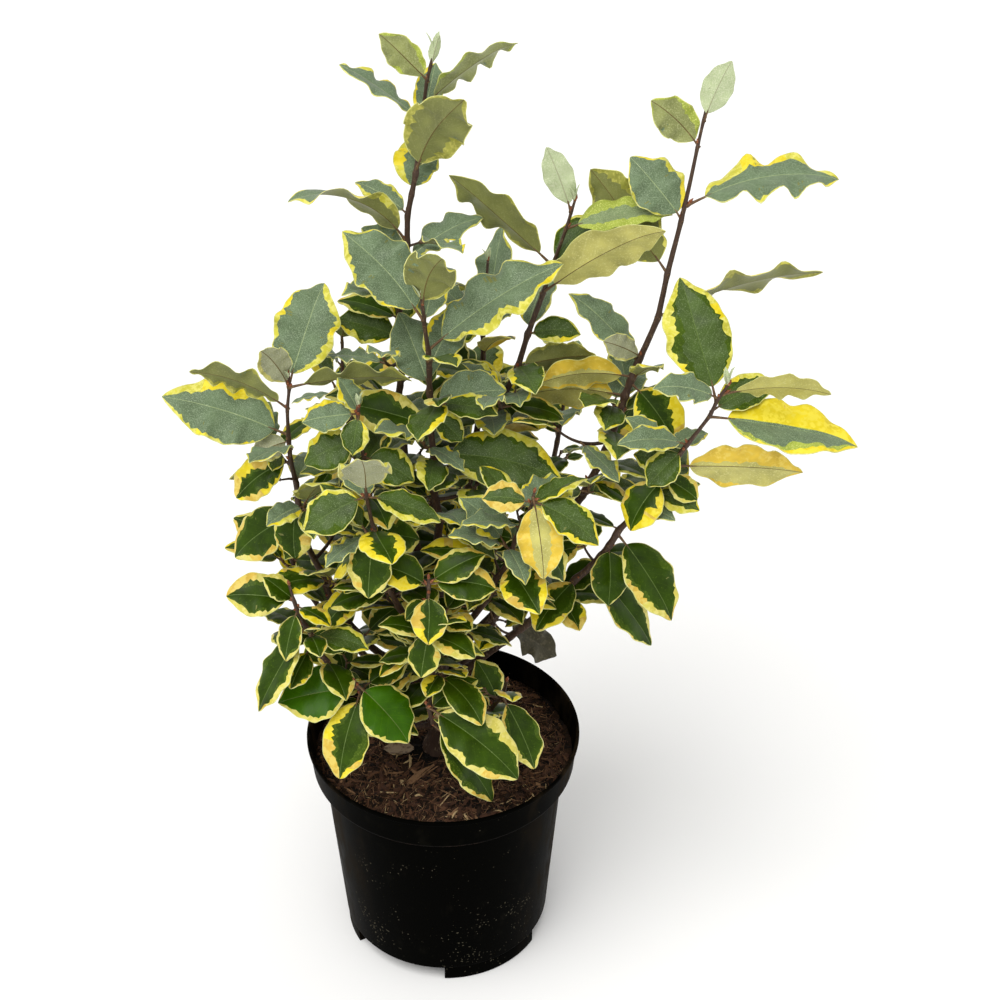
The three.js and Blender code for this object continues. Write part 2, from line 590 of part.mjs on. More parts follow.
// Then the rest by the rule: round the shoot by a fixed step, shorter and steeper upwards
for (const shoot of shoots) {
  for (let k = 0; k < shoot.count; k += 1) {
    const next = chance(shoot.index * 1000 + 100 + k);
    const share = k / (shoot.count - 1);
    const at = mix(shoot.span[0], shoot.span[1], share);
    place({
      stem: shoot.index, shoot: shoot.index, at, root: shoot.curve(at),
      heading: shoot.turn + STEP_ROUND * k + mix(-18, 18, next()),
      rise: mix(shoot.rise[0], shoot.rise[1], share) + mix(-12, 12, next()),
      length: mix(shoot.length[0], shoot.length[1], share) * mix(0.85, 1.15, next()),
      roll: mix(-18, 18, next()),
      broad: mix(shoot.broad[0], shoot.broad[1], at) * mix(0.92, 1.1, next()),
      droop: mix(22, 50, next()), twist: mix(-16, 16, next()),
    });
  }
  for (const twig of shoot.stems) {
    for (let k = 0; k < TWIG_LEAVES; k += 1) {
      const next = chance(twig.seed + k);
      const share = k / (TWIG_LEAVES - 1);
      const at = mix(0.5, 0.96, share);
      place({
        stem: twig.id, shoot: shoot.index, at, root: twig.curve(at),
        heading: twig.heading + [75, -80, 0][k] + mix(-15, 15, next()),
        rise: mix(-10, 25, share) + mix(-10, 10, next()),
        length: mix(shoot.length[0], shoot.length[1], 0.5) * mix(0.8, 1, next()),
        roll: mix(-15, 15, next()),
        broad: mix(shoot.broad[0], shoot.broad[1], 0.5) * mix(0.95, 1.1, next()),
        droop: mix(22, 45, next()), twist: mix(-14, 14, next()),
      });
    }
  }
}

// Solids of the plant
const BARK = new THREE.MeshStandardMaterial({ color: 0x4a302a, roughness: 0.85, metalness: 0 });
const LEAF = new THREE.MeshStandardMaterial({ color: 0x4a6b34, roughness: 0.45, metalness: 0 });
const POT = new THREE.MeshStandardMaterial({ color: 0x141311, roughness: 0.6, metalness: 0 });
const SOIL = new THREE.MeshStandardMaterial({ color: 0x4f3a29, roughness: 0.95, metalness: 0 });

const plant = new THREE.Group();

function keep(name, body, material) {
  const mesh = body.getMesh();
  const geometry = new THREE.BufferGeometry();
  const count = mesh.vertProperties.length / mesh.numProp;
  const places = new Float32Array(count * 3);
  for (let i = 0; i < count; i += 1) {
    for (let k = 0; k < 3; k += 1) {
      places[i * 3 + k] = mesh.vertProperties[i * mesh.numProp + k];
    }
  }
  geometry.setAttribute('position', new THREE.BufferAttribute(places, 3));
  geometry.setIndex(new THREE.BufferAttribute(new Uint32Array(mesh.triVerts), 1));
  geometry.computeVertexNormals();
  const piece = new THREE.Mesh(geometry, material);
  piece.name = name;
  plant.add(piece);
}

// The largest closed body of a cut or joined shape
function largest(body) {
  const pieces = body.decompose();
  return pieces.reduce((best, piece) => (piece.volume() > best.volume() ? piece : best));
}

function turned(profile, sides) {
  const rings = profile.map(([r, z]) => Array.from({ length: sides }, (_, k) => {
    const turn = (2 * Math.PI * k) / sides;
    return [r * Math.cos(turn), r * Math.sin(turn), z];
  }));
  return rings;
}

// A turned solid whose profile starts and ends on the axis
function lathed(profile, sides) {
  const rings = turned(profile.slice(1, -1), sides);
  const places = rings.flat();
  const faces = [];
  for (let r = 0; r + 1 < rings.length; r += 1) {
    for (let k = 0; k < sides; k += 1) {
      const a = r * sides + k;
      const b = r * sides + ((k + 1) % sides);
      faces.push([a, b, b + sides], [a, b + sides, a + sides]);
    }
  }
  const first = places.length;
  places.push([0, 0, profile[0][1]], [0, 0, profile[profile.length - 1][1]]);
  const last = (rings.length - 1) * sides;
  for (let k = 0; k < sides; k += 1) {
    const m = (k + 1) % sides;
    faces.push([first, m, k], [first + 1, last + k, last + m]);
  }
  return solid(places, faces);
}

const bandFoot = POT_HEIGHT - RIM_BAND;
const bandRadius = RIM_RADIUS - RIM_TAPER;
const shell = lathed([
  [0, 0], [BASE_RADIUS, 0], [BASE_RADIUS + 1.5, FOOT_HEIGHT], [WALL_FOOT_RADIUS, FOOT_HEIGHT + 1],
  [WALL_TOP_RADIUS, bandFoot - 2], [bandRadius, bandFoot], [RIM_RADIUS, POT_HEIGHT],
  [RIM_RADIUS - WALL, POT_HEIGHT], [bandRadius - WALL, bandFoot + 2],
  [WALL_TOP_RADIUS - WALL, bandFoot], [WALL_FOOT_RADIUS - WALL, FOOT_HEIGHT + 3.5],
  [BASE_RADIUS - 1, FOOT_HEIGHT + 2.2], [BASE_RADIUS - 3, BASE_THICKNESS], [0, BASE_THICKNESS],
], POT_SIDES);

let pot = shell;
for (let f = 0; f < FOOT_COUNT; f += 1) {
  const middle = 180 + (f * 360) / FOOT_COUNT;
  const rings = [-0.5, -0.25, 0, 0.25, 0.5].map((share) => {
    const turn = (middle + share * FOOT_SPAN) * DEG;
    const c = Math.cos(turn);
    const n = Math.sin(turn);
    const inner = BASE_RADIUS - 4;
    const outer = WALL_FOOT_RADIUS - 0.8;
    return [[inner, 0], [outer, 0], [outer + 0.3, FOOT_HEIGHT + 2.2], [inner, FOOT_HEIGHT + 2.2]]
      .map(([r, z]) => [r * c, r * n, z]);
  });
  pot = pot.add(closedBody(rings));
}
keep('pot', largest(pot), POT);

const gap = CLEAR;
keep('soil', lathed([
  [0, FOOT_HEIGHT + 2.2 + 1.6], [WALL_FOOT_RADIUS - WALL - gap, FOOT_HEIGHT + 3.5 + 0.5],
  [WALL_TOP_RADIUS - WALL - gap, bandFoot + 0.2], [bandRadius - WALL - gap, bandFoot + 2 + gap],
  [bandRadius - WALL - gap + 0.4, SOIL_LEVEL - SOIL_EDGE_DROP],
  [70, SOIL_LEVEL - 1.5], [SOIL_FLAT_RADIUS, SOIL_LEVEL], [0, SOIL_LEVEL],
], POT_SIDES), SOIL);

const footBlock = closedBody([SOIL_LEVEL - 30, SOIL_LEVEL + CLEAR].map((z) => [[-40, -40, z], [40, -40, z],
  [40, 40, z], [-40, 40, z]]));
const trunk = limb(trunkCurve, -0.06, 1, trunkRadius, TRUNK_SIDES, 12).subtract(footBlock);
const trunkGrown = limb(trunkCurve, -0.06, 1, trunkRadius, TRUNK_SIDES, 12, CLEAR);
keep('trunk', largest(trunk), BARK);

for (const shoot of shoots) {
  if (shoot.wood > 0) {
    const bough = limb(shoot.curve, 0, shoot.wood, shoot.radiusAt, 6, 6);
    keep(`bough_${shoot.name}`, largest(bough.subtract(trunkGrown)), BARK);
  }
  const size = Math.hypot(...add(shoot.curve(shoot.wood + 0.01), shoot.curve(shoot.wood), -1)) * 100;
  const from = shoot.wood > 0 ? shoot.wood + CLEAR / size : 0;
  let mass = limb(shoot.curve, from, 1, shoot.radiusAt, 4, 7);
  for (const twig of shoot.stems) {
    mass = mass.add(limb(twig.curve, 0, 1, twig.radiusAt, 3, 3));
  }
  for (const { leaf } of placedLeaves) {
    if (leaf.shoot === shoot.index) {
      mass = mass.add(leafBody(leaf));
    }
  }
  if (shoot.wood === 0) {
    mass = mass.subtract(trunkGrown);
  }
  keep(`foliage_${shoot.name}`, largest(mass), LEAF);
}

export default plant;
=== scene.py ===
"""A young ebbinge silverberry with yellow-edged leaves, in a round three-litre nursery pot.

The shoots, twigs and leaves grow by one rule, in millimetres, and are then dressed: folded and
wavy leaves with their coloured edges, scaly bark, buds, soil with its fibres, and the pot.
"""

import math
from types import SimpleNamespace

import bpy
import numpy as np
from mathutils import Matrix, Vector


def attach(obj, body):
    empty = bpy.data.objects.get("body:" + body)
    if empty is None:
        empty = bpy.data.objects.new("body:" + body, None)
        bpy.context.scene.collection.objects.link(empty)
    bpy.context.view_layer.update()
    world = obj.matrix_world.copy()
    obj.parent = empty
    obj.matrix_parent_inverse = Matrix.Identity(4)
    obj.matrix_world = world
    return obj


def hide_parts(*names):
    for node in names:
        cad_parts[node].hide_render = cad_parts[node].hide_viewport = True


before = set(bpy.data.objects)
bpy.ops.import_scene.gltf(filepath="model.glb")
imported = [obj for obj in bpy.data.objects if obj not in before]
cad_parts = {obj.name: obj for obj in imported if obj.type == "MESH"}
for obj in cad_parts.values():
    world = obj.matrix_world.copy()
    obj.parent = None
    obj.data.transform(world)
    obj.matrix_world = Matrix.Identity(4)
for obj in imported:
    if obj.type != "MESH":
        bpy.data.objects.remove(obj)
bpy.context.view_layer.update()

MM = 0.001

# Pot
POT_HEIGHT = 174
RIM_RADIUS = 95
RIM_BAND = 25
RIM_TAPER = 3.5
WALL_TOP_RADIUS = 84.2
WALL_FOOT_RADIUS = 73.5
WALL = 1.8
BASE_RADIUS = 60
BASE_THICKNESS = 2.5
FOOT_HEIGHT = 10
FOOT_COUNT = 3
FOOT_SPAN = 60

# Soil
SOIL_LEVEL = 157
SOIL_EDGE_DROP = 3
SOIL_FLAT_RADIUS = 22

# Trunk
TRUNK_FOOT = (-5, 0, SOIL_LEVEL + 0.3)
TRUNK_BEND = (0, 2, 250)
TRUNK_TOP = (-1, -9, 312)
TRUNK_RADIUS = (6.4, 3.0)
FLARE_RADIUS = 3.4
FLARE_SHARE = 0.1

# Leaves, their outline, and how clear they keep of each other and of the stems
PETIOLE_SHARE = 0.13
LEAF_STATIONS = (0.3, 0.66)
OUTLINE_SIZE = 2.79
OUTLINE_FOOT = 0.65
OUTLINE_TIP = 0.85
OUTLINE_FULLNESS = 1.06
STALK_FROM = 0.04
FOLD = 14
STEP_ROUND = 137.5
KEEP_LEAF = 2.0
KEEP_STEM = 1.6
KEEP_OWN = 0.4
OWN_ROOM = 8
KEEP_SIDE = 1.8

# How finely stems are looked at where leaves keep clear of them, and from how far
STEM_STEPS = 12
OWN_STEPS = 6
NEAR_STEPS = 6
STEM_REACH = 40

# Each shoot has its own run of seeds. These say where its parts start in it, and how many a twig
# and a spur have.
SHOOT_SEEDS = 1000
RULE_SEED = 100
TWIG_SEED = 300
TWIG_LEAF_SEED = 400
TWIG_LEAF_SEEDS = 50
EXTRA_SEED = 560
SPUR_SEED = 600
SPUR_SEEDS = 10
YOUNG_SEED = 900

# Shoots. start is the place on the trunk, bend and tip give the curve, wood is the bare share
# that is a bough, radius is at foot and tip. Then the leaf rule: how many, over which share,
# the first heading, and length, rise and breadth from the lowest leaf to the highest.
# own are the leaves that stand out: share along the shoot, heading, rise, length, roll,
# breadth and droop. looks says how each of them looks: a plus is a broader yellow edge, a minus
# a narrower one, and a ^ puts the yellow on its upper side.
def new_shoot(name, looks="", own=(), **rule):
    return SimpleNamespace(name=name, looks=looks.split(), own=own, **rule)


SHOOTS = [
    new_shoot(
        "tall_left", start=0.67, bend=[-46, 14, 420], tip=[2, 30, 660], wood=0.36, radius=[2.9, 1.1],
        count=9, span=[0.42, 0.9], turn=60, length=[50, 46], rise=[5, 40], broad=[0.52, 0.42], twigs=1,
        looks="sage young sage grey- khaki+ grey+ khaki grey grey- green deep",
        own=[[0.96, 175, 45, 40, 90, 0.5, 20], [0.98, -25, 75, 20, -70, 0.45, 12],
             [0.93, 10, 34, 66, -48, 0.4, 26], [0.91, 175, 36, 58, 2, 0.4, 15],
             [0.84, -45, 55, 74, -60, 0.5, 18], [0.81, 75, 45, 40, 10, 0.68, 25],
             [0.74, 180, 22, 84, 48, 0.4, 88], [0.71, 10, 30, 56, 15, 0.42, 30],
             [0.71, 160, 35, 34, -35, 0.64, 25], [0.59, 175, 15, 42, -40, 0.57, 30],
             [0.62, 170, 15, 42, -15, 0.46, 30]],
    ),
    new_shoot(
        "centre", start=0.99, bend=[1, -17, 420], tip=[-7, -20, 528], wood=0, radius=[2.6, 1.1],
        count=8, span=[0.12, 0.9], turn=200, length=[48, 46], rise=[0, 35], broad=[0.56, 0.44], twigs=1,
        looks="grey grey grey grey- grey green grey deep+ green",
        own=[[0.96, -60, 60, 54, -45, 0.6, 35], [0.92, 150, 40, 72, -30, 0.54, 22],
             [0.82, 15, 30, 98, 20, 0.4, 20], [0.69, 125, 50, 52, -10, 0.61, 20],
             [0.76, 60, 35, 46, 25, 0.55, 15], [0.47, -5, -10, 82, 40, 0.48, 30],
             [0.64, 5, 10, 48, 40, 0.62, 40], [0.56, 175, 15, 58, -40, 0.49, 30],
             [0.61, -15, -40, 26, 40, 0.68, 30]],
    ),
    new_shoot(
        "centre_right", start=0.63, bend=[24, 12, 385], tip=[84, 20, 570], wood=0.36, radius=[2.8, 1.1],
        count=8, span=[0.42, 0.88], turn=90, length=[48, 46], rise=[0, 35], broad=[0.52, 0.43], twigs=1,
        looks="khaki- young lime straw green grey",
        own=[[0.885, 175, 43, 84, 58, 0.4, 8], [0.98, 180, 70, 45, 95, 0.52, 15],
             [0.95, 0, 10, 66, 15, 0.42, 25], [0.83, -22, 38, 98, -60, 0.38, 15],
             [0.75, 0, 0, 34, 40, 0.53, 40], [0.68, 0, 10, 52, -85, 0.45, 30]],
    ),
    new_shoot(
        "tall_right", start=0.44, bend=[126, -6, 363], tip=[159, 20, 632], wood=0.4, radius=[3.1, 1.1],
        count=8, span=[0.43, 0.64], turn=20, length=[48, 48], rise=[-5, 35], broad=[0.52, 0.43], twigs=1,
        looks="young sage- grey++^ grey khaki khaki+ grey- silver amber^ amber^ gold",
        own=[[0.98, -25, 70, 42, -80, 0.55, 12], [0.95, 180, 45, 42, 100, 0.55, 25],
             [0.88, 5, 10, 94, 10, 0.38, 40], [0.86, 145, 40, 50, -35, 0.65, 25],
             [0.79, 160, 38, 80, 105, 0.52, 12], [0.73, 5, 15, 106, -45, 0.34, 30],
             [0.66, 165, 44, 64, -28, 0.36, 30], [0.67, 165, 35, 36, 105, 0.46, 25],
             [0.64, 180, -5, 64, 75, 0.42, 45], [0.61, 175, -15, 76, 75, 0.42, 30],
             [0.63, -35, -45, 48, 30, 0.68, 30]],
    ),
    new_shoot(
        "low_right", start=0.32, bend=[101, -14, 301], tip=[175, -42, 480], wood=0.28, radius=[3.1, 1.1],
        count=8, span=[0.4, 0.94], turn=100, length=[44, 46], rise=[-20, 20], broad=[0.56, 0.46], twigs=0,
        looks="straw green+ lemon^ amber^ green green+ green+ gold "
              "deep deep- deep deep deep brown grey green+",
        own=[[0.98, 0, 0, 66, -60, 0.4, 35], [0.96, 115, 50, 80, -10, 0.51, 20],
             [0.93, -5, -10, 94, 15, 0.44, 18], [0.81, 3, -5, 82, -80, 0.42, 12],
             [0.94, 5, 10, 48, 40, 0.46, 30], [0.85, -155, -40, 32, -30, 0.68, 35],
             [0.81, 180, 5, 26, -40, 0.68, 30], [0.78, -145, -50, 40, -20, 0.68, 30],
             [0.78, -15, -30, 26, 40, 0.68, 30], [0.59, -90, -60, 40, -15, 0.68, 20],
             [0.62, -40, -45, 66, 10, 0.54, 22], [0.52, -22, -50, 70, 8, 0.45, 22],
             [0.4, -25, -35, 22, 30, 0.68, 25], [0.25, -5, -35, 24, -125, 0.6, 25],
             [0.97, 158, 22, 48, -35, 0.4, 30], [0.74, -20, -12, 32, 30, 0.6, 35]],
    ),
    new_shoot(
        "left", start=0.335, bend=[-102, -16, 267], tip=[-88, -22, 474], wood=0.42, radius=[2.9, 1.1],
        count=7, span=[0.48, 0.94], turn=250, length=[42, 44], rise=[-20, 20], broad=[0.58, 0.5], twigs=1,
        looks="grey grey grey+^ silver grey+ gold^ deep+ deep+ silver",
        own=[[0.98, 60, 50, 68, 15, 0.59, 20], [0.94, 175, 22, 66, 66, 0.38, 45],
             [0.89, 175, 18, 82, -40, 0.51, 12], [0.98, -130, 60, 42, 70, 0.5, 25],
             [0.98, 0, 5, 76, -55, 0.36, 25], [0.84, -165, -30, 44, -40, 0.58, 35],
             [0.75, -100, -60, 38, 5, 0.68, 30], [0.72, -180, -38, 58, -38, 0.56, 30],
             [0.88, 175, -20, 26, 115, 0.68, 30]],
    ),
    new_shoot(
        "lower_left", start=0.2, bend=[-72, -46, 222], tip=[-92, -60, 345], wood=0.4, radius=[2.5, 1.1],
        count=6, span=[0.5, 0.92], turn=10, length=[36, 32], rise=[-35, 5], broad=[0.6, 0.58], twigs=0,
        looks="deep deep deep+ deep deep",
        own=[[0.94, 180, 5, 44, -35, 0.67, 35], [0.94, 150, 40, 26, -20, 0.68, 25],
             [0.91, -120, -60, 36, 0, 0.5, 35], [0.84, -140, -50, 64, 0, 0.42, 15],
             [0.81, -15, -25, 26, 30, 0.68, 35]],
    ),
    new_shoot(
        "front", start=0.37, bend=[-6, -66, 250], tip=[-4, -80, 365], wood=0, radius=[2.2, 1.0],
        count=7, span=[0.35, 0.9], turn=130, length=[36, 40], rise=[-30, 0], broad=[0.62, 0.6], twigs=0,
        looks="gold deep+ deep gold deep+ deep+",
        own=[[0.97, 170, 20, 36, -30, 0.68, 30], [0.98, 0, -5, 42, 35, 0.58, 30],
             [0.98, 15, 25, 40, 30, 0.52, 30], [0.95, -90, -60, 34, 15, 0.68, 30],
             [0.91, -150, -40, 20, -25, 0.68, 30], [0.78, -110, -60, 32, 0, 0.68, 30]],
    ),
    new_shoot(
        "front_low_left", start=0.12, bend=[-34, -48, 205], tip=[-54, -62, 268], wood=0, radius=[2.2, 1.0],
        count=3, span=[0.5, 0.86], turn=60, length=[38, 38], rise=[-20, 10], broad=[0.6, 0.6], twigs=0,
        looks="bright bright gold",
        own=[[0.95, -175, -10, 54, -35, 0.68, 25], [0.98, -30, -40, 52, 20, 0.68, 25],
             [0.92, -115, -55, 60, -10, 0.5, 30]],
    ),
    new_shoot(
        "front_low", start=0.22, bend=[-4, -52, 205], tip=[-8, -72, 258], wood=0, radius=[2.2, 1.0],
        count=3, span=[0.45, 0.9], turn=150, length=[36, 36], rise=[-10, 20], broad=[0.6, 0.55], twigs=0,
        looks="deep- worn deep",
        own=[[0.97, -25, -30, 76, 28, 0.5, 22], [0.78, 0, 5, 16, 30, 0.68, 30],
             [0.65, -25, -50, 70, 10, 0.46, 25]],
    ),
    new_shoot(
        "front_low_right", start=0.16, bend=[34, -44, 205], tip=[44, -54, 262], wood=0, radius=[2.2, 1.0],
        count=3, span=[0.5, 0.88], turn=20, length=[38, 38], rise=[-20, 20], broad=[0.58, 0.55], twigs=0,
        looks="deep deep",
        own=[[0.86, -50, -50, 54, 10, 0.46, 22], [0.78, 135, 50, 32, -15, 0.68, 30]],
    ),
    new_shoot(
        "mid_left", start=0.48, bend=[-34, -54, 320], tip=[-41, -72, 430], wood=0, radius=[2.4, 1.0],
        count=7, span=[0.3, 0.92], turn=330, length=[42, 44], rise=[-20, 15], broad=[0.6, 0.54], twigs=0,
        looks="silver green green deep gold deep",
        own=[[0.96, -90, 60, 46, 5, 0.68, 30], [0.95, -165, -25, 44, -40, 0.6, 30],
             [0.95, -5, -20, 48, 15, 0.46, 30], [0.82, -100, -60, 44, 5, 0.64, 30],
             [0.77, -135, -50, 52, -20, 0.63, 30], [0.79, -15, -25, 34, 35, 0.68, 30]],
    ),
    new_shoot(
        "mid_right", start=0.52, bend=[42, -50, 330], tip=[60, -74, 425], wood=0, radius=[2.4, 1.0],
        count=7, span=[0.35, 0.92], turn=220, length=[42, 44], rise=[-20, 15], broad=[0.58, 0.52], twigs=0,
        looks="amber green amber deep deep",
        own=[[0.98, -60, -75, 54, -150, 0.51, 20], [0.96, -15, -30, 50, 25, 0.5, 30],
             [0.95, 180, 5, 30, -35, 0.68, 30], [0.76, -180, -5, 28, -35, 0.68, 30],
             [0.84, -35, -55, 48, 30, 0.47, 30]],
    ),
    new_shoot(
        "upper_left", start=0.58, bend=[-48, -24, 330], tip=[-45, -38, 462], wood=0, radius=[2.4, 1.0],
        count=7, span=[0.35, 0.9], turn=110, length=[42, 44], rise=[-15, 20], broad=[0.58, 0.5], twigs=1,
        looks="grey grey green green green",
        own=[[0.98, -180, -10, 36, -40, 0.57, 25], [0.98, 125, 55, 26, -5, 0.68, 25],
             [0.98, -110, -60, 26, -5, 0.68, 30], [0.9, -170, -20, 38, -40, 0.68, 30],
             [0.85, -10, -25, 36, 35, 0.68, 30]],
    ),
    new_shoot(
        "back", start=0.56, bend=[24, 50, 330], tip=[32, 62, 508], wood=0.36, radius=[2.7, 1.1],
        count=11, span=[0.42, 0.97], turn=75, length=[50, 50], rise=[0, 45], broad=[0.54, 0.45], twigs=1,
        looks="grey",
        own=[[0.83, 75, 55, 78, -20, 0.36, 15]],
    ),
    new_shoot(
        "back_left", start=0.4, bend=[-62, 58, 290], tip=[-64, 80, 448], wood=0.38, radius=[2.7, 1.1],
        count=10, span=[0.42, 0.97], turn=140, length=[48, 50], rise=[-10, 40], broad=[0.58, 0.5], twigs=1,
    ),
    new_shoot(
        "back_right", start=0.29, bend=[80, 66, 265], tip=[84, 90, 425], wood=0.38, radius=[2.7, 1.1],
        count=10, span=[0.42, 0.97], turn=50, length=[48, 50], rise=[-10, 40], broad=[0.58, 0.5], twigs=1,
    ),
    new_shoot(
        "back_low", start=0.15, bend=[10, 96, 225], tip=[14, 118, 345], wood=0.3, radius=[2.5, 1.1],
        count=9, span=[0.4, 0.97], turn=95, length=[44, 44], rise=[-30, 30], broad=[0.6, 0.54], twigs=1,
    ),
    new_shoot(
        "lower_back_left", start=0.24, bend=[-92, 32, 225], tip=[-112, 44, 325], wood=0.42, radius=[2.5, 1.1],
        count=7, span=[0.5, 0.97], turn=170, length=[40, 42], rise=[-30, 20], broad=[0.6, 0.56], twigs=0,
    ),
]

# Side twigs on a shoot, with the turns of their leaves. Each starts outside the shoot, and keeps
# clear of other stems, with its outer half by more than with its inner half.
TWIG_LENGTH = (34, 46)
TWIG_RISE = 30
TWIG_RADIUS = (1.3, 0.8)
TWIG_LEAVES = 3
TWIG_TURNS = (75, -80, 0)
TWIG_FOOT = 0.15
TWIG_CLEAR = (5, 3)

# A leaf keeps over the soil inside the rim, over the rim up to a little beside it, and inside the
# crown's widths and height
OVER_SOIL = SOIL_LEVEL + 5
OVER_RIM = POT_HEIGHT + 5
INSIDE_RIM = RIM_RADIUS - 12
BESIDE_RIM = RIM_RADIUS + 6
CROWN = SimpleNamespace(left=-178, right=262, front=-135, back=172, top=690, low=176)

# Where sky shows between the boughs: x and z in the plane of the trunk as seen from the eye, and
# the radius that the leaves of the rule keep open. The finest twigs keep a few more open.
EYE = (40, -1056, 1101)
OPENINGS = [
    (72, 414, 14), (87, 405, 9), (94, 433, 5), (47, 475, 6), (43, 546, 8), (-62, 427, 8), (-78, 459, 6),
    (-113, 367, 7), (-111, 315, 6), (-125, 271, 6), (-55, 268, 5), (25, 276, 5), (56, 346, 4), (100, 272, 4),
]
FINE_OPENINGS = [
    (-78, 331, 6), (-92, 287, 6), (-60, 318, 4), (-99, 251, 7), (110, 350, 5), (46, 262, 6), (-70, 352, 4),
]
# Where the soil's dark patch of painted shade at the trunk's foot shows between the lowest leaves
SOIL_OPENINGS = [(-20, 163, 8)]
# How many lines of sight go round an opening's edge, and how far they go on behind it
OPENING_STEPS = 6
SIGHT_BEYOND = 600

# Where a leaf doesn't fit, it turns aside a little at a time
TURNS = (0, 22, -22, 44, -44, 70, -70)

# The leaf that turns over halfway, with its back below and its face at the tip: roll and twist
TURNED_OVER = {("tall_left", 6): (40, -95)}

# Side spurs, the finest twigs, with up to three leaves each, which are smaller where there is
# little room: only low in the crown, where it is dense, and few on the right, where the photo
# shows sky between the boughs
SPURS = 8
SPURS_OF = {"low_right": 7, "tall_right": 5, "front": 6, "front_low": 3, "front_low_left": 4,
            "front_low_right": 3, "back": 10, "back_left": 10, "back_right": 9, "back_low": 9}
SPUR_LENGTH = (8, 20)
SPUR_RADIUS = (0.95, 0.6)
SPUR_LEAVES = 3
SPUR_LEAF = (29, 48)
SPUR_TURNS = (80, -75, 5)
SPUR_SIZES = (1, 0.78, 0.6)
SPUR_TOP = 455
KEEP_FINE = 0.9
SIDE_FINE = 0.6

# The finest twigs leave these places along the larger leaves that stand out in sight of the eye
IN_SIGHT_LENGTH = 40
IN_SIGHT_SHARES = (0.35, 0.6, 0.85)

# Leaves on spurs that stand out in the photo: a dead one behind the lowest bough, and small ones
EXTRAS = [
    SimpleNamespace(shoot="back_right", at=0.26, side=0, heading=-5, rise=-38, length=46, roll=12,
                    broad=0.72, droop=12, twist=20, look="brown"),
    SimpleNamespace(shoot="low_right", at=0.36, side=150, heading=200, rise=-30, length=22, roll=10,
                    broad=0.7, droop=20, twist=5, look="green"),
    SimpleNamespace(shoot="front", at=0.15, side=180, heading=-35, rise=-45, length=38, roll=0,
                    broad=0.5, droop=25, twist=10, look="worn"),
    SimpleNamespace(shoot="left", at=0.8, side=200, heading=190, rise=-5, length=34, roll=70,
                    broad=0.42, droop=20, twist=5, look="green"),
    SimpleNamespace(shoot="tall_left", at=0.735, side=10, heading=8, rise=20, length=60, roll=-20,
                    broad=0.34, droop=10, twist=10, look="grey"),
]


# How chance numbers start from a seed and follow each other, each by a factor and a sum
CHANCE_RANGE = 2**32
CHANCE_START = (7919, 12345)
CHANCE_NEXT = (1664525, 1013904223)


def chance(seed):
    """The shrub's own run of chance numbers, from 0 to 1, the same for a seed every time."""
    kept = [(seed * CHANCE_START[0] + CHANCE_START[1]) % CHANCE_RANGE]

    def step():
        kept[0] = (kept[0] * CHANCE_NEXT[0] + CHANCE_NEXT[1]) % CHANCE_RANGE
        return kept[0] / CHANCE_RANGE

    for _ in range(3):
        step()
    return step


def mix(a, b, share):
    return a + (b - a) * share


def swing(most, draw):
    """A chance value from -most to most."""
    return mix(-most, most, draw())


def unit(v):
    return v / np.linalg.norm(v, axis=-1, keepdims=True)


def dots(a, b):
    return (a * b).sum(-1)


def aim(heading, rise):
    h = math.radians(heading)
    r = math.radians(rise)
    return np.array([math.cos(r) * math.cos(h), math.cos(r) * math.sin(h), math.sin(r)])


def arc(foot, bend, tip):
    """A curve through foot and tip, drawn towards bend."""
    foot = np.array(foot, float)
    bend = np.array(bend, float)
    tip = np.array(tip, float)

    def at(s):
        s = np.asarray(s, float)[..., None]
        return (1 - s) ** 2 * foot + 2 * s * (1 - s) * bend + s * s * tip

    return at


def along(curve, s):
    s = np.asarray(s, float)
    return unit(curve(s + 0.005) - curve(s - 0.005))


def leaf_frame(leaf, t):
    """The leaf's mid line, its frame and its half breadth at shares t of its length."""
    t = np.asarray(t, float)
    lift = math.radians(leaf.rise + leaf.droop / 2)
    fall = math.radians(leaf.droop)
    pitch = lift - fall * t
    out = leaf.length * (math.sin(lift) - np.sin(pitch)) / fall
    up = leaf.length * (np.cos(pitch) - math.cos(lift)) / fall
    c = math.cos(math.radians(leaf.heading))
    n = math.sin(math.radians(leaf.heading))
    roll = np.radians(leaf.roll + leaf.twist * (t - 0.5))[..., None]
    flat = np.array([-n, c, 0.0])
    over = np.stack([-c * np.sin(pitch), -n * np.sin(pitch), np.cos(pitch)], -1)
    ahead = np.stack([c * np.cos(pitch), n * np.cos(pitch), np.sin(pitch)], -1)
    u = np.clip((t - PETIOLE_SHARE) / (1 - PETIOLE_SHARE), 0, 1)
    return SimpleNamespace(
        place=leaf.root + np.stack([out * c, out * n, up], -1),
        side=flat * np.cos(roll) + over * np.sin(roll),
        top=over * np.cos(roll) - flat * np.sin(roll),
        ahead=ahead,
        half=leaf.length * leaf.broad * 0.5 * OUTLINE_SIZE * u**OUTLINE_FOOT * (1 - u) ** OUTLINE_TIP,
    )


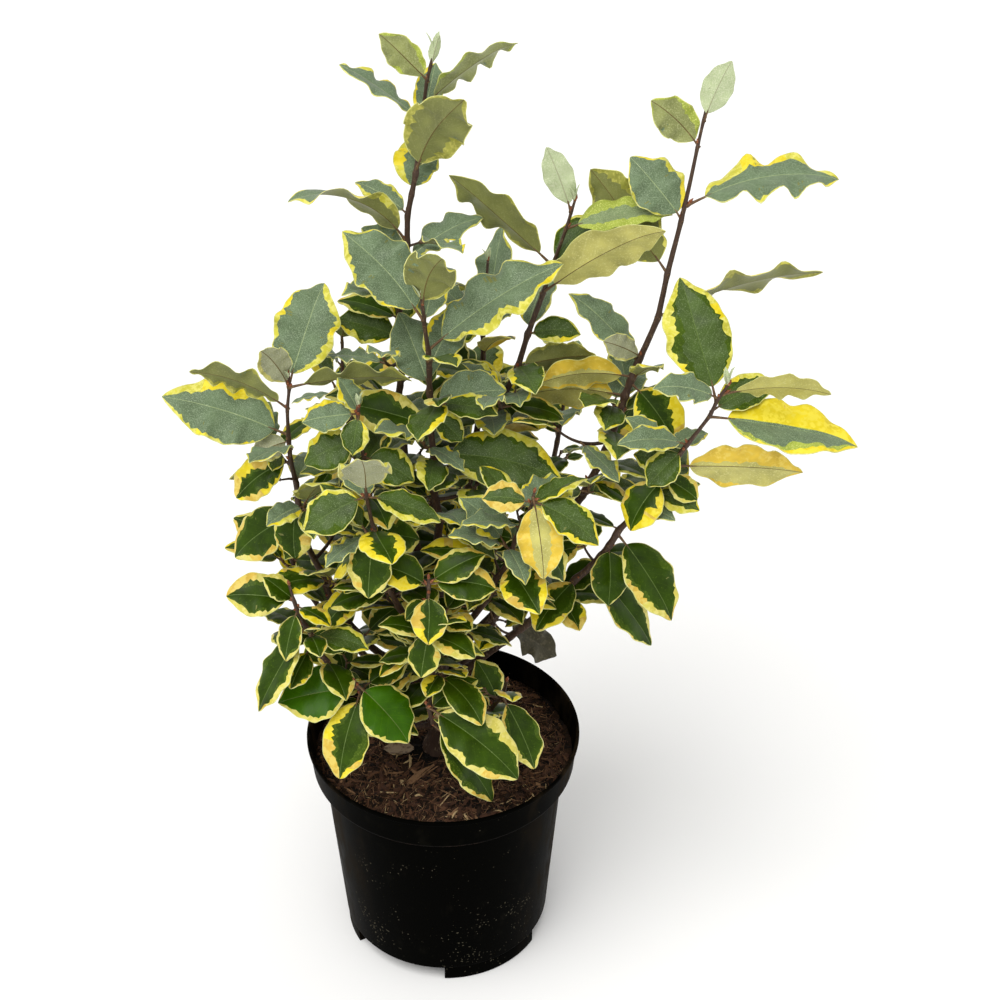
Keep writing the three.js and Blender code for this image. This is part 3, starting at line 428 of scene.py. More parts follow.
def sheet(leaf, keep, beyond):
    """The leaf as a sheet of eight points, and the same sheet keep over and under it."""
    keep = np.atleast_1d(np.asarray(keep, float))[:, None]
    beyond = np.atleast_1d(np.asarray(beyond, float))[:, None]
    points = []

    def lay(f, wide, high):
        middle = f.place + f.side * wide + f.top * high
        points.append(np.stack([middle, middle + f.top * keep, middle - f.top * keep]))

    none = 0 * beyond
    lay(leaf_frame(leaf, PETIOLE_SHARE), none, none)
    for u in LEAF_STATIONS:
        f = leaf_frame(leaf, PETIOLE_SHARE + u * (1 - PETIOLE_SHARE))
        half = f.half * OUTLINE_FULLNESS + beyond
        wide = half * math.cos(math.radians(FOLD))
        high = half * math.sin(math.radians(FOLD))
        lay(f, wide, high)
        lay(f, none, none)
        lay(f, -wide, high)
    lay(leaf_frame(leaf, 1 + beyond[:, 0] / leaf.length), none, none)
    return np.stack(points, 2)


SHEET_FACES = np.array([
    [0, 1, 2], [0, 2, 3], [1, 4, 2], [2, 4, 5], [2, 5, 3], [3, 5, 6], [4, 7, 5], [5, 7, 6],
])
SHEET_LINES = np.array([
    [0, 1], [0, 2], [0, 3], [1, 2], [2, 3], [1, 4], [2, 4], [2, 5], [3, 5], [3, 6], [4, 5],
    [5, 6], [4, 7], [5, 7], [6, 7],
])
SHEET_RIM = (0, 1, 4, 7, 6, 3)


def pierces(p, q, a, b, c):
    """Whether the line from p to q goes through the face a, b, c."""
    e = b - a
    g = c - a
    d = q - p
    h = np.cross(d, g)
    det = dots(e, h)
    flat = np.abs(det) < 1e-9
    det = np.where(flat, 1.0, det)
    s = p - a
    u = dots(s, h) / det
    w = np.cross(s, e)
    v = dots(d, w) / det
    t = dots(g, w) / det
    return ~flat & (u >= 0) & (u <= 1) & (v >= 0) & (u + v <= 1) & (t >= 0) & (t <= 1)


def any_pierced(lines, faces):
    """Whether any of the lines goes through any of the faces."""
    p = lines[:, None, 0]
    q = lines[:, None, 1]
    return pierces(p, q, faces[None, :, 0], faces[None, :, 1], faces[None, :, 2]).any()


def thick_room(leaf, keep, beyond):
    """The faces and lines of the room that a leaf needs, for each keep and beyond."""
    _, over, under = sheet(leaf, keep, beyond)
    rim = np.array(SHEET_RIM)
    ahead = np.roll(rim, -1)
    walls = [
        np.stack([over[:, rim], over[:, ahead], under[:, rim]], 2),
        np.stack([under[:, rim], over[:, ahead], under[:, ahead]], 2),
    ]
    faces = np.concatenate([over[:, SHEET_FACES], under[:, SHEET_FACES], *walls], 1)
    posts = np.stack([over[:, rim], under[:, rim]], 2)
    lines = np.concatenate([over[:, SHEET_LINES], under[:, SHEET_LINES], posts], 1)
    return faces, lines


def thin_room(leaf):
    """A leaf's own faces and lines, which the others keep clear of."""
    middle = sheet(leaf, 0, 0)[0, 0]
    stalk = np.stack([leaf_frame(leaf, STALK_FROM).place, middle[0]])
    return SimpleNamespace(
        faces=middle[SHEET_FACES],
        lines=np.concatenate([middle[SHEET_LINES], stalk[None]]),
        stalk=stalk,
        centre=middle[2],
        reach=leaf.length,
        leaf=leaf,
    )


def near_lines(a, b, c, d):
    """How near each line a to b comes to the line c to d, looked at step by step."""
    shares = (np.arange(NEAR_STEPS + 1) / NEAR_STEPS)[:, None, None]
    p = a + (b - a) * shares
    e = d - c
    share = np.clip(dots(p - c, e) / dots(e, e), 0, 1)[..., None]
    return np.linalg.norm(p - (c + e * share), axis=-1).min(0)


def stem_lines(stem, a, b, steps):
    """The pieces of a stem that leaves keep clear of, and each one's radius."""
    if b <= a:
        return np.zeros((0, 2, 3)), np.zeros(0)
    shares = a + (b - a) * np.arange(steps + 1) / steps
    points = stem.curve(shares)
    middles = (shares[1:] + shares[:-1]) / 2
    return np.stack([points[:-1], points[1:]], 1), stem.radius_at(middles)


placed_leaves = []
placed_stems = []
waiting = []
own_sights = []


def add_stem(key, curve, a, b, radius_at):
    stem = SimpleNamespace(key=key, curve=curve, a=a, b=b, radius_at=radius_at)
    stem.size = float(np.linalg.norm(curve(b) - curve(a)))
    stem.lines, stem.radii = stem_lines(stem, a, b, STEM_STEPS)
    placed_stems.append(stem)


def inside_crown(leaf):
    """Whether the leaf stays in the crown, over the soil and off the rim."""
    f = leaf_frame(leaf, np.array([0.2, 0.4, 0.6, 0.8, 1.0]))
    wide = f.half[:, None, None] * np.array([-1.0, 0.0, 1.0])[None, :, None]
    x, y, z = np.moveaxis(f.place[:, None] + f.side[:, None] * wide, -1, 0)
    out = np.hypot(x, y)
    floor = np.where(out < INSIDE_RIM, OVER_SOIL, OVER_RIM)
    low = (out < BESIDE_RIM) & (z < floor)
    beside = (x < CROWN.left) | (x > CROWN.right) | (y < CROWN.front) | (y > CROWN.back)
    beyond = (z > CROWN.top) | ((z < CROWN.low) & (out > RIM_RADIUS))
    return not (low | beside | beyond).any()


def room_for(leaf, keep, beside):
    """Whether the leaf keeps clear of the other leaves and of every stem."""
    if not inside_crown(leaf):
        return False
    thin = thin_room(leaf)
    faces, lines = thick_room(leaf, keep, beside)
    near = [
        other for other in placed_leaves
        if np.linalg.norm(other.centre - thin.centre) <= other.reach + thin.reach
    ]
    if near:
        if any_pierced(np.concatenate([other.lines for other in near]), faces[0]):
            return False
        mine = np.concatenate([lines[0], thin.stalk[None]])
        if any_pierced(mine, np.concatenate([other.faces for other in near])):
            return False
    pieces = []
    radii = []
    own = []
    for stem in placed_stems:
        mine = stem.key == leaf.stem
        if mine:
            skip = OWN_ROOM / stem.size
            parts = [
                stem_lines(stem, stem.a, leaf.at - skip, OWN_STEPS),
                stem_lines(stem, leaf.at + skip, stem.b, OWN_STEPS),
            ]
        else:
            parts = [(stem.lines, stem.radii)]
        for part, part_radii in parts:
            pieces.append(part)
            radii.append(part_radii)
            own.append(np.full(len(part), mine))
    pieces = np.concatenate(pieces)
    radii = np.concatenate(radii)
    own = np.concatenate(own)
    close = np.linalg.norm(pieces[:, 0] - thin.centre, axis=1) <= thin.reach + STEM_REACH
    if not close.any():
        return True
    pieces = pieces[close]
    radii = radii[close]
    own = own[close]
    keep = np.where(own, KEEP_OWN, KEEP_STEM) + radii
    faces, _ = thick_room(leaf, keep, np.where(own, 0, keep))
    p = pieces[:, None, 0]
    q = pieces[:, None, 1]
    if pierces(p, q, faces[:, :, 0], faces[:, :, 1], faces[:, :, 2]).any():
        return False
    gaps = near_lines(pieces[:, 0], pieces[:, 1], *thin.stalk)
    return not (~own & (gaps < radii + KEEP_STEM)).any()


def sights(openings):
    """Lines of sight through the middle and round the edge of each opening."""
    eye = np.array(EYE, float)
    lines = []
    for x, z, radius in openings:
        ahead = unit(np.array([x, 0, z]) - eye)
        over = unit(np.cross([1, 0, 0], ahead))
        through = np.array([x, 0, z]) + ahead * SIGHT_BEYOND
        lines.append([eye, through])
        for k in range(OPENING_STEPS):
            turn = 2 * math.pi * k / OPENING_STEPS
            beside = np.array([math.cos(turn), 0, 0]) + over * math.sin(turn)
            lines.append([eye, through + beside * radius])
    return np.array(lines)


SIGHTS = sights(OPENINGS + SOIL_OPENINGS)
FINE_SIGHTS = sights(OPENINGS + SOIL_OPENINGS + FINE_OPENINGS)


def place(leaf, keep=KEEP_LEAF, beside=KEEP_SIDE, own=False):
    """Turns the leaf aside until it has room and leaves the openings free, or gives None."""
    through = SIGHTS if keep == KEEP_LEAF else np.concatenate([FINE_SIGHTS, *own_sights])
    for turn in TURNS:
        tried = SimpleNamespace(**vars(leaf))
        tried.heading = leaf.heading + turn
        if not own and any_pierced(through, thin_room(tried).faces):
            continue
        if room_for(tried, keep, beside):
            placed_leaves.append(thin_room(tried))
            return tried
    return None


trunk_curve = arc(TRUNK_FOOT, TRUNK_BEND, TRUNK_TOP)


def trunk_radius(s):
    flare = FLARE_RADIUS * np.maximum(0, 1 - np.asarray(s, float) / FLARE_SHARE) ** 2
    return mix(*TRUNK_RADIUS, np.asarray(s, float)) + flare


def tapering(radius):
    return lambda s: mix(*radius, np.asarray(s, float))


def grow():
    """Places every stem and leaf by the rule, the leaves that stand out first."""
    add_stem("trunk", trunk_curve, 0, 1, trunk_radius)
    for index, shoot in enumerate(SHOOTS):
        shoot.index = index
        shoot.seed = index * SHOOT_SEEDS
        shoot.stems = []
        shoot.curve = arc(trunk_curve(shoot.start), shoot.bend, shoot.tip)
        shoot.radius_at = tapering(shoot.radius)
        add_stem(f"bough {index}", shoot.curve, 0, shoot.wood, shoot.radius_at)
        add_stem(index, shoot.curve, shoot.wood, 1, shoot.radius_at)
    for shoot in SHOOTS:
        grow_own(shoot)
    keep_own_in_sight()
    for shoot in SHOOTS:
        grow_twigs(shoot)
    for shoot in SHOOTS:
        grow_rule(shoot)
    for shoot in SHOOTS:
        shoot.spurs = []
    for extra in EXTRAS:
        grow_extra(extra)
    for shoot in SHOOTS:
        grow_spurs(shoot)
    for leaf in waiting:
        place(leaf, KEEP_FINE, SIDE_FINE, own=True)


def keep_own_in_sight():
    """Lines of sight to the larger leaves that stand out, which the finest twigs leave free."""
    for placed in placed_leaves:
        if placed.leaf.length >= IN_SIGHT_LENGTH:
            ends = leaf_frame(placed.leaf, np.array(IN_SIGHT_SHARES)).place
            starts = np.broadcast_to(np.array(EYE, float), ends.shape)
            own_sights.append(np.stack([starts, ends], 1))


def new_leaf(shoot, stem, curve, at, seed, look=None, **form):
    return SimpleNamespace(stem=stem, shoot=shoot.index, at=at, root=curve(at), seed=seed, look=look,
                           **form)


def grow_own(shoot):
    """The leaves that stand out, each with the look that is given to it."""
    for k, (at, heading, rise, length, roll, broad, droop) in enumerate(shoot.own):
        draw = chance(shoot.seed + k)
        leaf = new_leaf(
            shoot, shoot.index, shoot.curve, at, shoot.seed + k, shoot.looks[k], heading=heading,
            rise=rise, length=length, roll=roll, broad=broad, droop=droop,
            twist=swing(14, draw),
        )
        leaf.roll, leaf.twist = TURNED_OVER.get((shoot.name, k), (leaf.roll, leaf.twist))
        if not place(leaf, own=True):
            waiting.append(leaf)


def grow_twigs(shoot):
    """Side twigs, where the leaves and other stems have room for them."""
    for k in range(shoot.twigs):
        draw = chance(shoot.seed + TWIG_SEED + k)
        at = mix(max(shoot.wood + 0.08, 0.3), 0.72, (k + draw()) / shoot.twigs)
        heading = shoot.turn + 180 + STEP_ROUND * k + swing(30, draw)
        length = mix(*TWIG_LENGTH, draw())
        foot = shoot.curve(at)
        bend = foot + aim(heading, 5) * length * 0.5
        tip = foot + aim(heading, TWIG_RISE) * length
        curve = arc(foot, bend, tip)
        lines = np.array([[foot, bend], [bend, tip], [foot, tip]])
        if any_pierced(lines, np.concatenate([other.faces for other in placed_leaves])):
            continue
        near = False
        for stem in placed_stems:
            if stem.key == shoot.index:
                continue
            outer = near_lines(stem.lines[:, 0], stem.lines[:, 1], bend, tip)
            inner = near_lines(stem.lines[:, 0], stem.lines[:, 1], curve(TWIG_FOOT), bend)
            close = (outer < stem.radii + TWIG_CLEAR[0]) | (inner < stem.radii + TWIG_CLEAR[1])
            near = near or close.any()
        if near:
            continue
        key = f"{shoot.index}-{k}"
        radius_at = tapering(TWIG_RADIUS)
        add_stem(key, curve, TWIG_FOOT, 1, radius_at)
        shoot.stems.append(SimpleNamespace(
            key=key, curve=curve, radius_at=radius_at, heading=heading,
            seed=shoot.seed + TWIG_LEAF_SEED + k * TWIG_LEAF_SEEDS,
        ))


def grow_rule(shoot):
    """Round the shoot by a fixed step, shorter and steeper upwards."""
    for k in range(shoot.count):
        seed = shoot.seed + RULE_SEED + k
        draw = chance(seed)
        share = k / (shoot.count - 1)
        at = mix(*shoot.span, share)
        place(new_leaf(
            shoot, shoot.index, shoot.curve, at, seed,
            heading=shoot.turn + STEP_ROUND * k + swing(18, draw),
            rise=mix(*shoot.rise, share) + swing(12, draw),
            length=mix(*shoot.length, share) * mix(0.85, 1.15, draw()),
            roll=swing(18, draw),
            broad=mix(*shoot.broad, at) * mix(0.92, 1.1, draw()),
            droop=mix(22, 50, draw()), twist=swing(16, draw),
        ))
    for twig in shoot.stems:
        for k in range(TWIG_LEAVES):
            draw = chance(twig.seed + k)
            share = k / (TWIG_LEAVES - 1)
            at = mix(0.5, 0.96, share)
            place(new_leaf(
                shoot, twig.key, twig.curve, at, twig.seed + k,
                heading=twig.heading + TWIG_TURNS[k] + swing(15, draw),
                rise=mix(-10, 25, share) + swing(10, draw),
                length=mix(*shoot.length, 0.5) * mix(0.8, 1, draw()),
                roll=swing(15, draw),
                broad=mix(*shoot.broad, 0.5) * mix(0.95, 1.1, draw()),
                droop=mix(22, 45, draw()), twist=swing(14, draw),
            ))


def grow_extra(extra):
    """A spur with one leaf that stands out in the photo and is finer than the shoots' own."""
    shoot = next(each for each in SHOOTS if each.name == extra.shoot)
    foot = shoot.curve(extra.at)
    reach = aim(extra.side, 10)
    curve = arc(foot, foot + reach * 4, foot + reach * 6 + aim(extra.heading, extra.rise) * 3)
    leaf = SimpleNamespace(**vars(extra))
    leaf.stem = f"{extra.shoot} extra"
    leaf.shoot = shoot.index
    leaf.at = 0.9
    leaf.root = curve(1.0)
    leaf.seed = shoot.seed + EXTRA_SEED + len(shoot.spurs)
    if place(leaf, KEEP_FINE, SIDE_FINE, own=True):
        shoot.spurs.append(SimpleNamespace(curve=curve, radius_at=tapering(SPUR_RADIUS)))


def grow_spurs(shoot):
    """Carries the rule on to the finest twigs, each with up to three leaves."""
    count = SPURS_OF.get(shoot.name, SPURS)
    for k in range(count):
        seed = shoot.seed + SPUR_SEED + k * SPUR_SEEDS
        draw = chance(seed)
        at = mix(max(shoot.wood * 0.7, 0.16), 0.86, (k + draw()) / count)
        foot = shoot.curve(at)
        if foot[2] > SPUR_TOP:
            continue
        heading = shoot.turn + 60 + STEP_ROUND * 1.7 * k + swing(25, draw)
        length = mix(*SPUR_LENGTH, draw())
        curve = arc(foot, foot + aim(heading, 15) * length * 0.6, foot + aim(heading, 45) * length)
        lines = np.array([[foot, curve(1.0)], [curve(0.3), curve(1.15)]])
        if any_pierced(lines, np.concatenate([other.faces for other in placed_leaves])):
            continue
        key = f"{shoot.index} spur {k}"
        grown = 0
        for m in range(SPUR_LEAVES):
            leaf = SimpleNamespace(
                stem=key, shoot=shoot.index, at=0.9, root=curve(0.7 + 0.13 * m),
                heading=heading + SPUR_TURNS[m] + swing(20, draw),
                rise=mix(-5, 35, m / (SPUR_LEAVES - 1)) + swing(14, draw),
                length=mix(*SPUR_LEAF, draw()),
                roll=swing(18, draw), broad=mix(0.48, 0.64, draw()),
                droop=mix(22, 48, draw()), twist=swing(14, draw), look=None,
                seed=seed + m,
            )
            for size in SPUR_SIZES:
                leaf.length = leaf.length * size
                if place(leaf, KEEP_FINE, SIDE_FINE):
                    grown += 1
                    break
        if grown:
            shoot.spurs.append(SimpleNamespace(curve=curve, radius_at=tapering(SPUR_RADIUS)))


# Dressing: from here on the stems and leaves get their skins, and everything its colours.

def paint(red, green, blue):
    """A finish's colour from its values on a screen, 0 to 255."""
    shares = [red / 255, green / 255, blue / 255]
    return (*[x / 12.92 if x <= 0.04045 else ((x + 0.055) / 1.055) ** 2.4 for x in shares], 1.0)


def node_group(name, inputs, outputs):
    """A shader group with named sockets. Gives its tree, its input node and its output node."""
    tree = bpy.data.node_groups.new(name, "ShaderNodeTree")
    for label, kind, value in inputs:
        socket = tree.interface.new_socket(label, in_out="INPUT", socket_type=kind)
        socket.default_value = value
    for label, kind in outputs:
        tree.interface.new_socket(label, in_out="OUTPUT", socket_type=kind)
    return tree, tree.nodes.new("NodeGroupInput"), tree.nodes.new("NodeGroupOutput")


def add_node(tree, kind, **settings):
    node = tree.nodes.new(kind)
    for label, value in settings.items():
        setattr(node, label, value)
    return node


def feed(tree, node, label, source):
    """Links source into a socket, or sets the socket where source is a plain value."""
    if isinstance(source, bpy.types.NodeSocket):
        tree.links.new(source, node.inputs[label])
    else:
        node.inputs[label].default_value = source


def noise(tree, vector, scale, detail=2.0, rough=0.5):
    node = add_node(tree, "ShaderNodeTexNoise")
    given = {"Vector": vector, "Scale": scale, "Detail": detail, "Roughness": rough}
    for label, value in given.items():
        feed(tree, node, label, value)
    return node.outputs["Fac"]


def ranged(tree, value, low, high):
    """0 up to low and 1 from high on, smooth between them."""
    node = add_node(tree, "ShaderNodeMapRange", interpolation_type="SMOOTHSTEP")
    feed(tree, node, "Value", value)
    feed(tree, node, "From Min", low)
    feed(tree, node, "From Max", high)
    return node.outputs["Result"]


def maths(tree, operation, a, b=0.0):
    node = add_node(tree, "ShaderNodeMath", operation=operation)
    feed(tree, node, 0, a)
    feed(tree, node, 1, b)
    return node.outputs[0]


def about(tree, value, size):
    """A value from 0 to 1, centred on 0 and scaled by size."""
    return maths(tree, "MULTIPLY", maths(tree, "SUBTRACT", value, 0.5), size)


def vector_maths(tree, operation, a, label, b):
    node = add_node(tree, "ShaderNodeVectorMath", operation=operation)
    feed(tree, node, 0, a)
    feed(tree, node, label, b)
    return node.outputs[0]


def blended(tree, share, a, b):
    node = add_node(tree, "ShaderNodeMix", data_type="RGBA")
    feed(tree, node, 0, share)
    feed(tree, node, 6, a)
    feed(tree, node, 7, b)
    return node.outputs[2]


def split(tree, vector):
    node = add_node(tree, "ShaderNodeSeparateXYZ")
    feed(tree, node, 0, vector)
    return node.outputs


def object_place(tree):
    return add_node(tree, "ShaderNodeTexCoord").outputs["Object"]


def mottle_group():
    """Two colours in soft or sharp patches, and the patches' mask."""
    tree, given, out = node_group("mottle", [
        ("Ground", "NodeSocketColor", (0.5, 0.5, 0.5, 1)),
        ("Patch", "NodeSocketColor", (0.2, 0.2, 0.2, 1)),
        ("Scale", "NodeSocketFloat", 100.0),
        ("Start", "NodeSocketFloat", 0.5),
        ("Full", "NodeSocketFloat", 0.6),
        ("Stretch", "NodeSocketVector", (1.0, 1.0, 1.0)),
    ], [("Color", "NodeSocketColor"), ("Mask", "NodeSocketFloat")])
    given = given.outputs
    stretched = vector_maths(tree, "MULTIPLY", object_place(tree), 1, given["Stretch"])
    patches = noise(tree, stretched, given["Scale"], 3.0, 0.55)
    mask = ranged(tree, patches, given["Start"], given["Full"])
    feed(tree, out, "Color", blended(tree, mask, given["Ground"], given["Patch"]))
    feed(tree, out, "Mask", mask)
    return tree


# A leaf's skin: how soft its scales' edges are, how fine its broad shades are and how much they
# dull it, how many pairs of veins it has, how they slant and how narrow they are, and how high
# scales and veins stand
SCALE_SOFT = 0.16
SHADE_FINENESS = 85.0
SHADE_DULL = 0.22
VEIN_PAIRS = 8.0
VEIN_SLANT = 4.6
VEIN_EDGES = (0.4, 0.49)
SCALE_HEIGHT = 0.35
VEIN_HEIGHT = -0.6


def leaf_skin_group():
    """A leaf's colour with fine scales and soft veins, the height of both, and its roughness."""
    tree, given, out = node_group("leaf skin", [
        ("Ground", "NodeSocketColor", (0.1, 0.2, 0.05, 1)),
        ("Scales", "NodeSocketColor", (0.3, 0.4, 0.3, 1)),
        ("Scale size", "NodeSocketFloat", 900.0),
        ("Scales start", "NodeSocketFloat", 0.5),
        ("Shade", "NodeSocketFloat", 0.15),
        ("Veins", "NodeSocketFloat", 0.2),
        ("Dull", "NodeSocketFloat", 0.5),
    ], [("Color", "NodeSocketColor"), ("Height", "NodeSocketFloat"), ("Roughness", "NodeSocketFloat")])
    given = given.outputs
    place_on = object_place(tree)
    fine = noise(tree, place_on, given["Scale size"], 2.0, 0.6)
    full = maths(tree, "ADD", given["Scales start"], SCALE_SOFT)
    scales = ranged(tree, fine, given["Scales start"], full)
    broad = noise(tree, place_on, SHADE_FINENESS)
    tone = maths(tree, "ADD", 1.0, about(tree, broad, given["Shade"]))
    shaded = vector_maths(tree, "SCALE", given["Ground"], "Scale", tone)
    skin = blended(tree, scales, shaded, given["Scales"])
    on_leaf = split(tree, add_node(tree, "ShaderNodeUVMap", uv_map="leaf").outputs["UV"])
    across = maths(tree, "ABSOLUTE", maths(tree, "SUBTRACT", on_leaf["X"], 0.5))
    slant = maths(tree, "MULTIPLY", across, VEIN_SLANT)
    run = maths(tree, "SUBTRACT", maths(tree, "MULTIPLY", on_leaf["Y"], VEIN_PAIRS), slant)
    cell = maths(tree, "ABSOLUTE", maths(tree, "SUBTRACT", maths(tree, "FRACT", run), 0.5))
    vein = maths(tree, "MULTIPLY", ranged(tree, cell, *VEIN_EDGES), given["Veins"])
    lighter = blended(tree, maths(tree, "MULTIPLY", vein, 0.5), skin, given["Scales"])
    feed(tree, out, "Color", lighter)
    scale_height = maths(tree, "MULTIPLY", fine, SCALE_HEIGHT)
    feed(tree, out, "Height", maths(tree, "ADD", scale_height, maths(tree, "MULTIPLY", vein, VEIN_HEIGHT)))
    feed(tree, out, "Roughness", maths(tree, "ADD", given["Dull"], about(tree, broad, SHADE_DULL)))
    return tree


MOTTLE = mottle_group()
LEAF_SKIN = leaf_skin_group()


def new_material(name):
    made = bpy.data.materials.new(name)
    made.use_nodes = True
    tree = made.node_tree
    tree.nodes.clear()
    shader = add_node(tree, "ShaderNodeBsdfPrincipled")
    out = add_node(tree, "ShaderNodeOutputMaterial")
    tree.links.new(shader.outputs["BSDF"], out.inputs["Surface"])
    return made, tree, shader


def put_group(tree, group, **values):
    node = add_node(tree, "ShaderNodeGroup", node_tree=group)
    for label, value in values.items():
        feed(tree, node, label.replace("_", " "), value)
    return node.outputs


def raise_from(tree, shader, height, strength, distance):
    bump = add_node(tree, "ShaderNodeBump")
    feed(tree, bump, "Strength", strength)
    feed(tree, bump, "Distance", distance)
    feed(tree, bump, "Height", height)
    tree.links.new(bump.outputs["Normal"], shader.inputs["Normal"])


def leaf_paint(name, ground, scales, size, start, shade, veins, dull, gloss=0.25, sheen=0.0):
    made, tree, shader = new_material(name)
    skin = put_group(tree, LEAF_SKIN, Ground=paint(*ground), Scales=paint(*scales), Scale_size=size,
                     Scales_start=start, Shade=shade, Veins=veins, Dull=dull)
    feed(tree, shader, "Base Color", skin["Color"])
    feed(tree, shader, "Roughness", skin["Roughness"])
    shader.inputs["Specular IOR Level"].default_value = gloss
    shader.inputs["Sheen Weight"].default_value = sheen
    raise_from(tree, shader, skin["Height"], 0.35, 0.0004)
    return made


def mottled_paint(name, ground, patch, scale, start, full, dull, bump, gloss, stretch=(1.0, 1.0, 1.0)):
    made, tree, shader = new_material(name)
    patches = put_group(tree, MOTTLE, Ground=paint(*ground), Patch=paint(*patch), Scale=scale,
                        Start=start, Full=full, Stretch=stretch)
    feed(tree, shader, "Base Color", patches["Color"])
    shader.inputs["Roughness"].default_value = dull
    shader.inputs["Specular IOR Level"].default_value = gloss
    raise_from(tree, shader, patches["Mask"], bump, 0.0005)
    return made


# Each leaf paint: its own colour and its scales' colour, how fine the scales are and where they
# start, then shade, veins and dullness, and gloss and sheen where they aren't the usual ones
LEAF_COLOURS = {
    "deep": ("deep green", (45, 68, 0), (68, 92, 16), 700, 0.6, 1.5, 0.3, 0.38, 0.15),
    "moss": ("moss green", (60, 82, 8), (90, 112, 32), 900, 0.52, 1.3, 0.3, 0.42, 0.15),
    "bright": ("bright green", (50, 90, 0), (76, 118, 4), 700, 0.64, 1.1, 0.3, 0.32, 0.14),
    "green": ("leaf green", (68, 89, 34), (114, 132, 84), 1500, 0.54, 1.3, 0.4, 0.44, 0.24),
    "grey": ("grey green", (97, 116, 84), (142, 160, 127), 1900, 0.5, 1.0, 0.4, 0.5, 0.25, 0.1),
    "pale": ("pale grey green", (116, 134, 88), (162, 175, 130), 1900, 0.49, 0.8, 0.3, 0.5, 0.25, 0.1),
    "young": ("young silver green", (176, 190, 144), (208, 215, 180), 1700, 0.46, 0.5, 0.25, 0.55,
              0.25, 0.15),
    "lime": ("lime green", (158, 172, 66), (200, 208, 112), 1200, 0.5, 0.9, 0.3, 0.5),
    "citron": ("citron edge", (206, 200, 66), (224, 218, 108), 300, 0.44, 0.9, 0.2, 0.45),
    "lemon": ("lemon yellow", (228, 206, 30), (238, 220, 64), 240, 0.42, 0.8, 0.2, 0.45),
    "butter": ("butter yellow", (206, 196, 88), (224, 214, 122), 240, 0.42, 0.8, 0.2, 0.45),
    "amber": ("amber yellow", (210, 176, 68), (222, 198, 98), 220, 0.42, 0.9, 0.2, 0.45),
    "cream": ("cream edge", (204, 204, 120), (224, 224, 156), 300, 0.45, 0.5, 0.0, 0.5),
    "ochre": ("ochre back edge", (152, 152, 66), (184, 180, 88), 400, 0.46, 0.9, 0.2, 0.5),
    "rib": ("green rib", (86, 108, 46), (120, 138, 78), 600, 0.55, 0.5, 0.0, 0.5),
    "pale rib": ("pale rib", (142, 158, 112), (170, 184, 142), 600, 0.5, 0.4, 0.0, 0.5),
    "khaki": ("khaki back", (116, 120, 60), (140, 143, 86), 1500, 0.54, 1.1, 0.4, 0.5, 0.3, 0.15),
    "silver": ("silver back", (150, 153, 118), (180, 182, 152), 1500, 0.5, 0.8, 0.4, 0.48, 0.3, 0.2),
    "olive": ("olive back", (108, 113, 52), (136, 140, 84), 1300, 0.54, 1.0, 0.4, 0.52, 0.25, 0.1),
    "straw": ("straw back", (188, 182, 100), (210, 206, 134), 1000, 0.54, 0.9, 0.4, 0.5, 0.3, 0.1),
    "gold": ("gold back", (220, 188, 62), (230, 204, 92), 220, 0.5, 1.0, 0.4, 0.5),
    "brown": ("brown back", (70, 66, 50), (92, 86, 68), 500, 0.5, 1.2, 0.5, 0.6, 0.2),
    "stalk": ("brown rib", (98, 82, 44), (126, 108, 66), 500, 0.55, 0.6, 0.0, 0.55, 0.2),
    "sage": ("sage back", (138, 144, 84), (166, 171, 116), 1400, 0.5, 1.1, 0.4, 0.5, 0.3, 0.15),
    "dry": ("dry patch", (176, 156, 114), (128, 100, 66), 300, 0.5, 1.2, 0.4, 0.7, 0.2),
}
LEAF_PAINTS = {label: leaf_paint(*values) for label, values in LEAF_COLOURS.items()}
LEAF_SLOTS = list(LEAF_PAINTS)

# The stems' paints and their places in the slots
STEM_SLOTS = [
    mottled_paint("scaly bark", (62, 44, 33), (104, 88, 72), 420, 0.56, 0.68, 0.72, 0.5, 0.3,
                  (1.0, 1.0, 0.35)),
    mottled_paint("young bark", (66, 46, 34), (100, 78, 56), 700, 0.55, 0.7, 0.6, 0.4, 0.4,
                  (1.0, 1.0, 0.4)),
    mottled_paint("leaf stalk", (96, 70, 44), (130, 106, 66), 600, 0.5, 0.7, 0.55, 0.3, 0.4),
    mottled_paint("rusty bud", (126, 68, 42), (176, 120, 80), 1200, 0.52, 0.62, 0.65, 0.5, 0.3),
]
OLD_BARK, NEW_BARK, STALK, BUD = range(4)


def grid_faces(rows, columns, closed_round=False):
    """Quads of a grid of points, row after row."""
    i, j = np.meshgrid(np.arange(rows - 1), np.arange(columns if closed_round else columns - 1),
                       indexing="ij")
    a = i * columns + j
    b = i * columns + (j + 1) % columns
    return np.stack([a, a + columns, b + columns, b], -1).reshape(-1, 4)


def rim_faces(rows, columns):
    """Quads that join the edges of a sheet to those of its other side, whose points follow."""
    count = rows * columns
    left = np.arange(rows - 1) * columns
    right = left + columns - 1
    base = np.arange(columns - 1)
    tip = (rows - 1) * columns + base
    return np.concatenate([
        np.stack([right, right + columns, right + columns + count, right + count], 1),
        np.stack([left + columns, left, left + count, left + columns + count], 1),
        np.stack([tip, tip + count, tip + 1 + count, tip + 1], 1),
        np.stack([base + 1, base + 1 + count, base + count, base], 1),
    ])


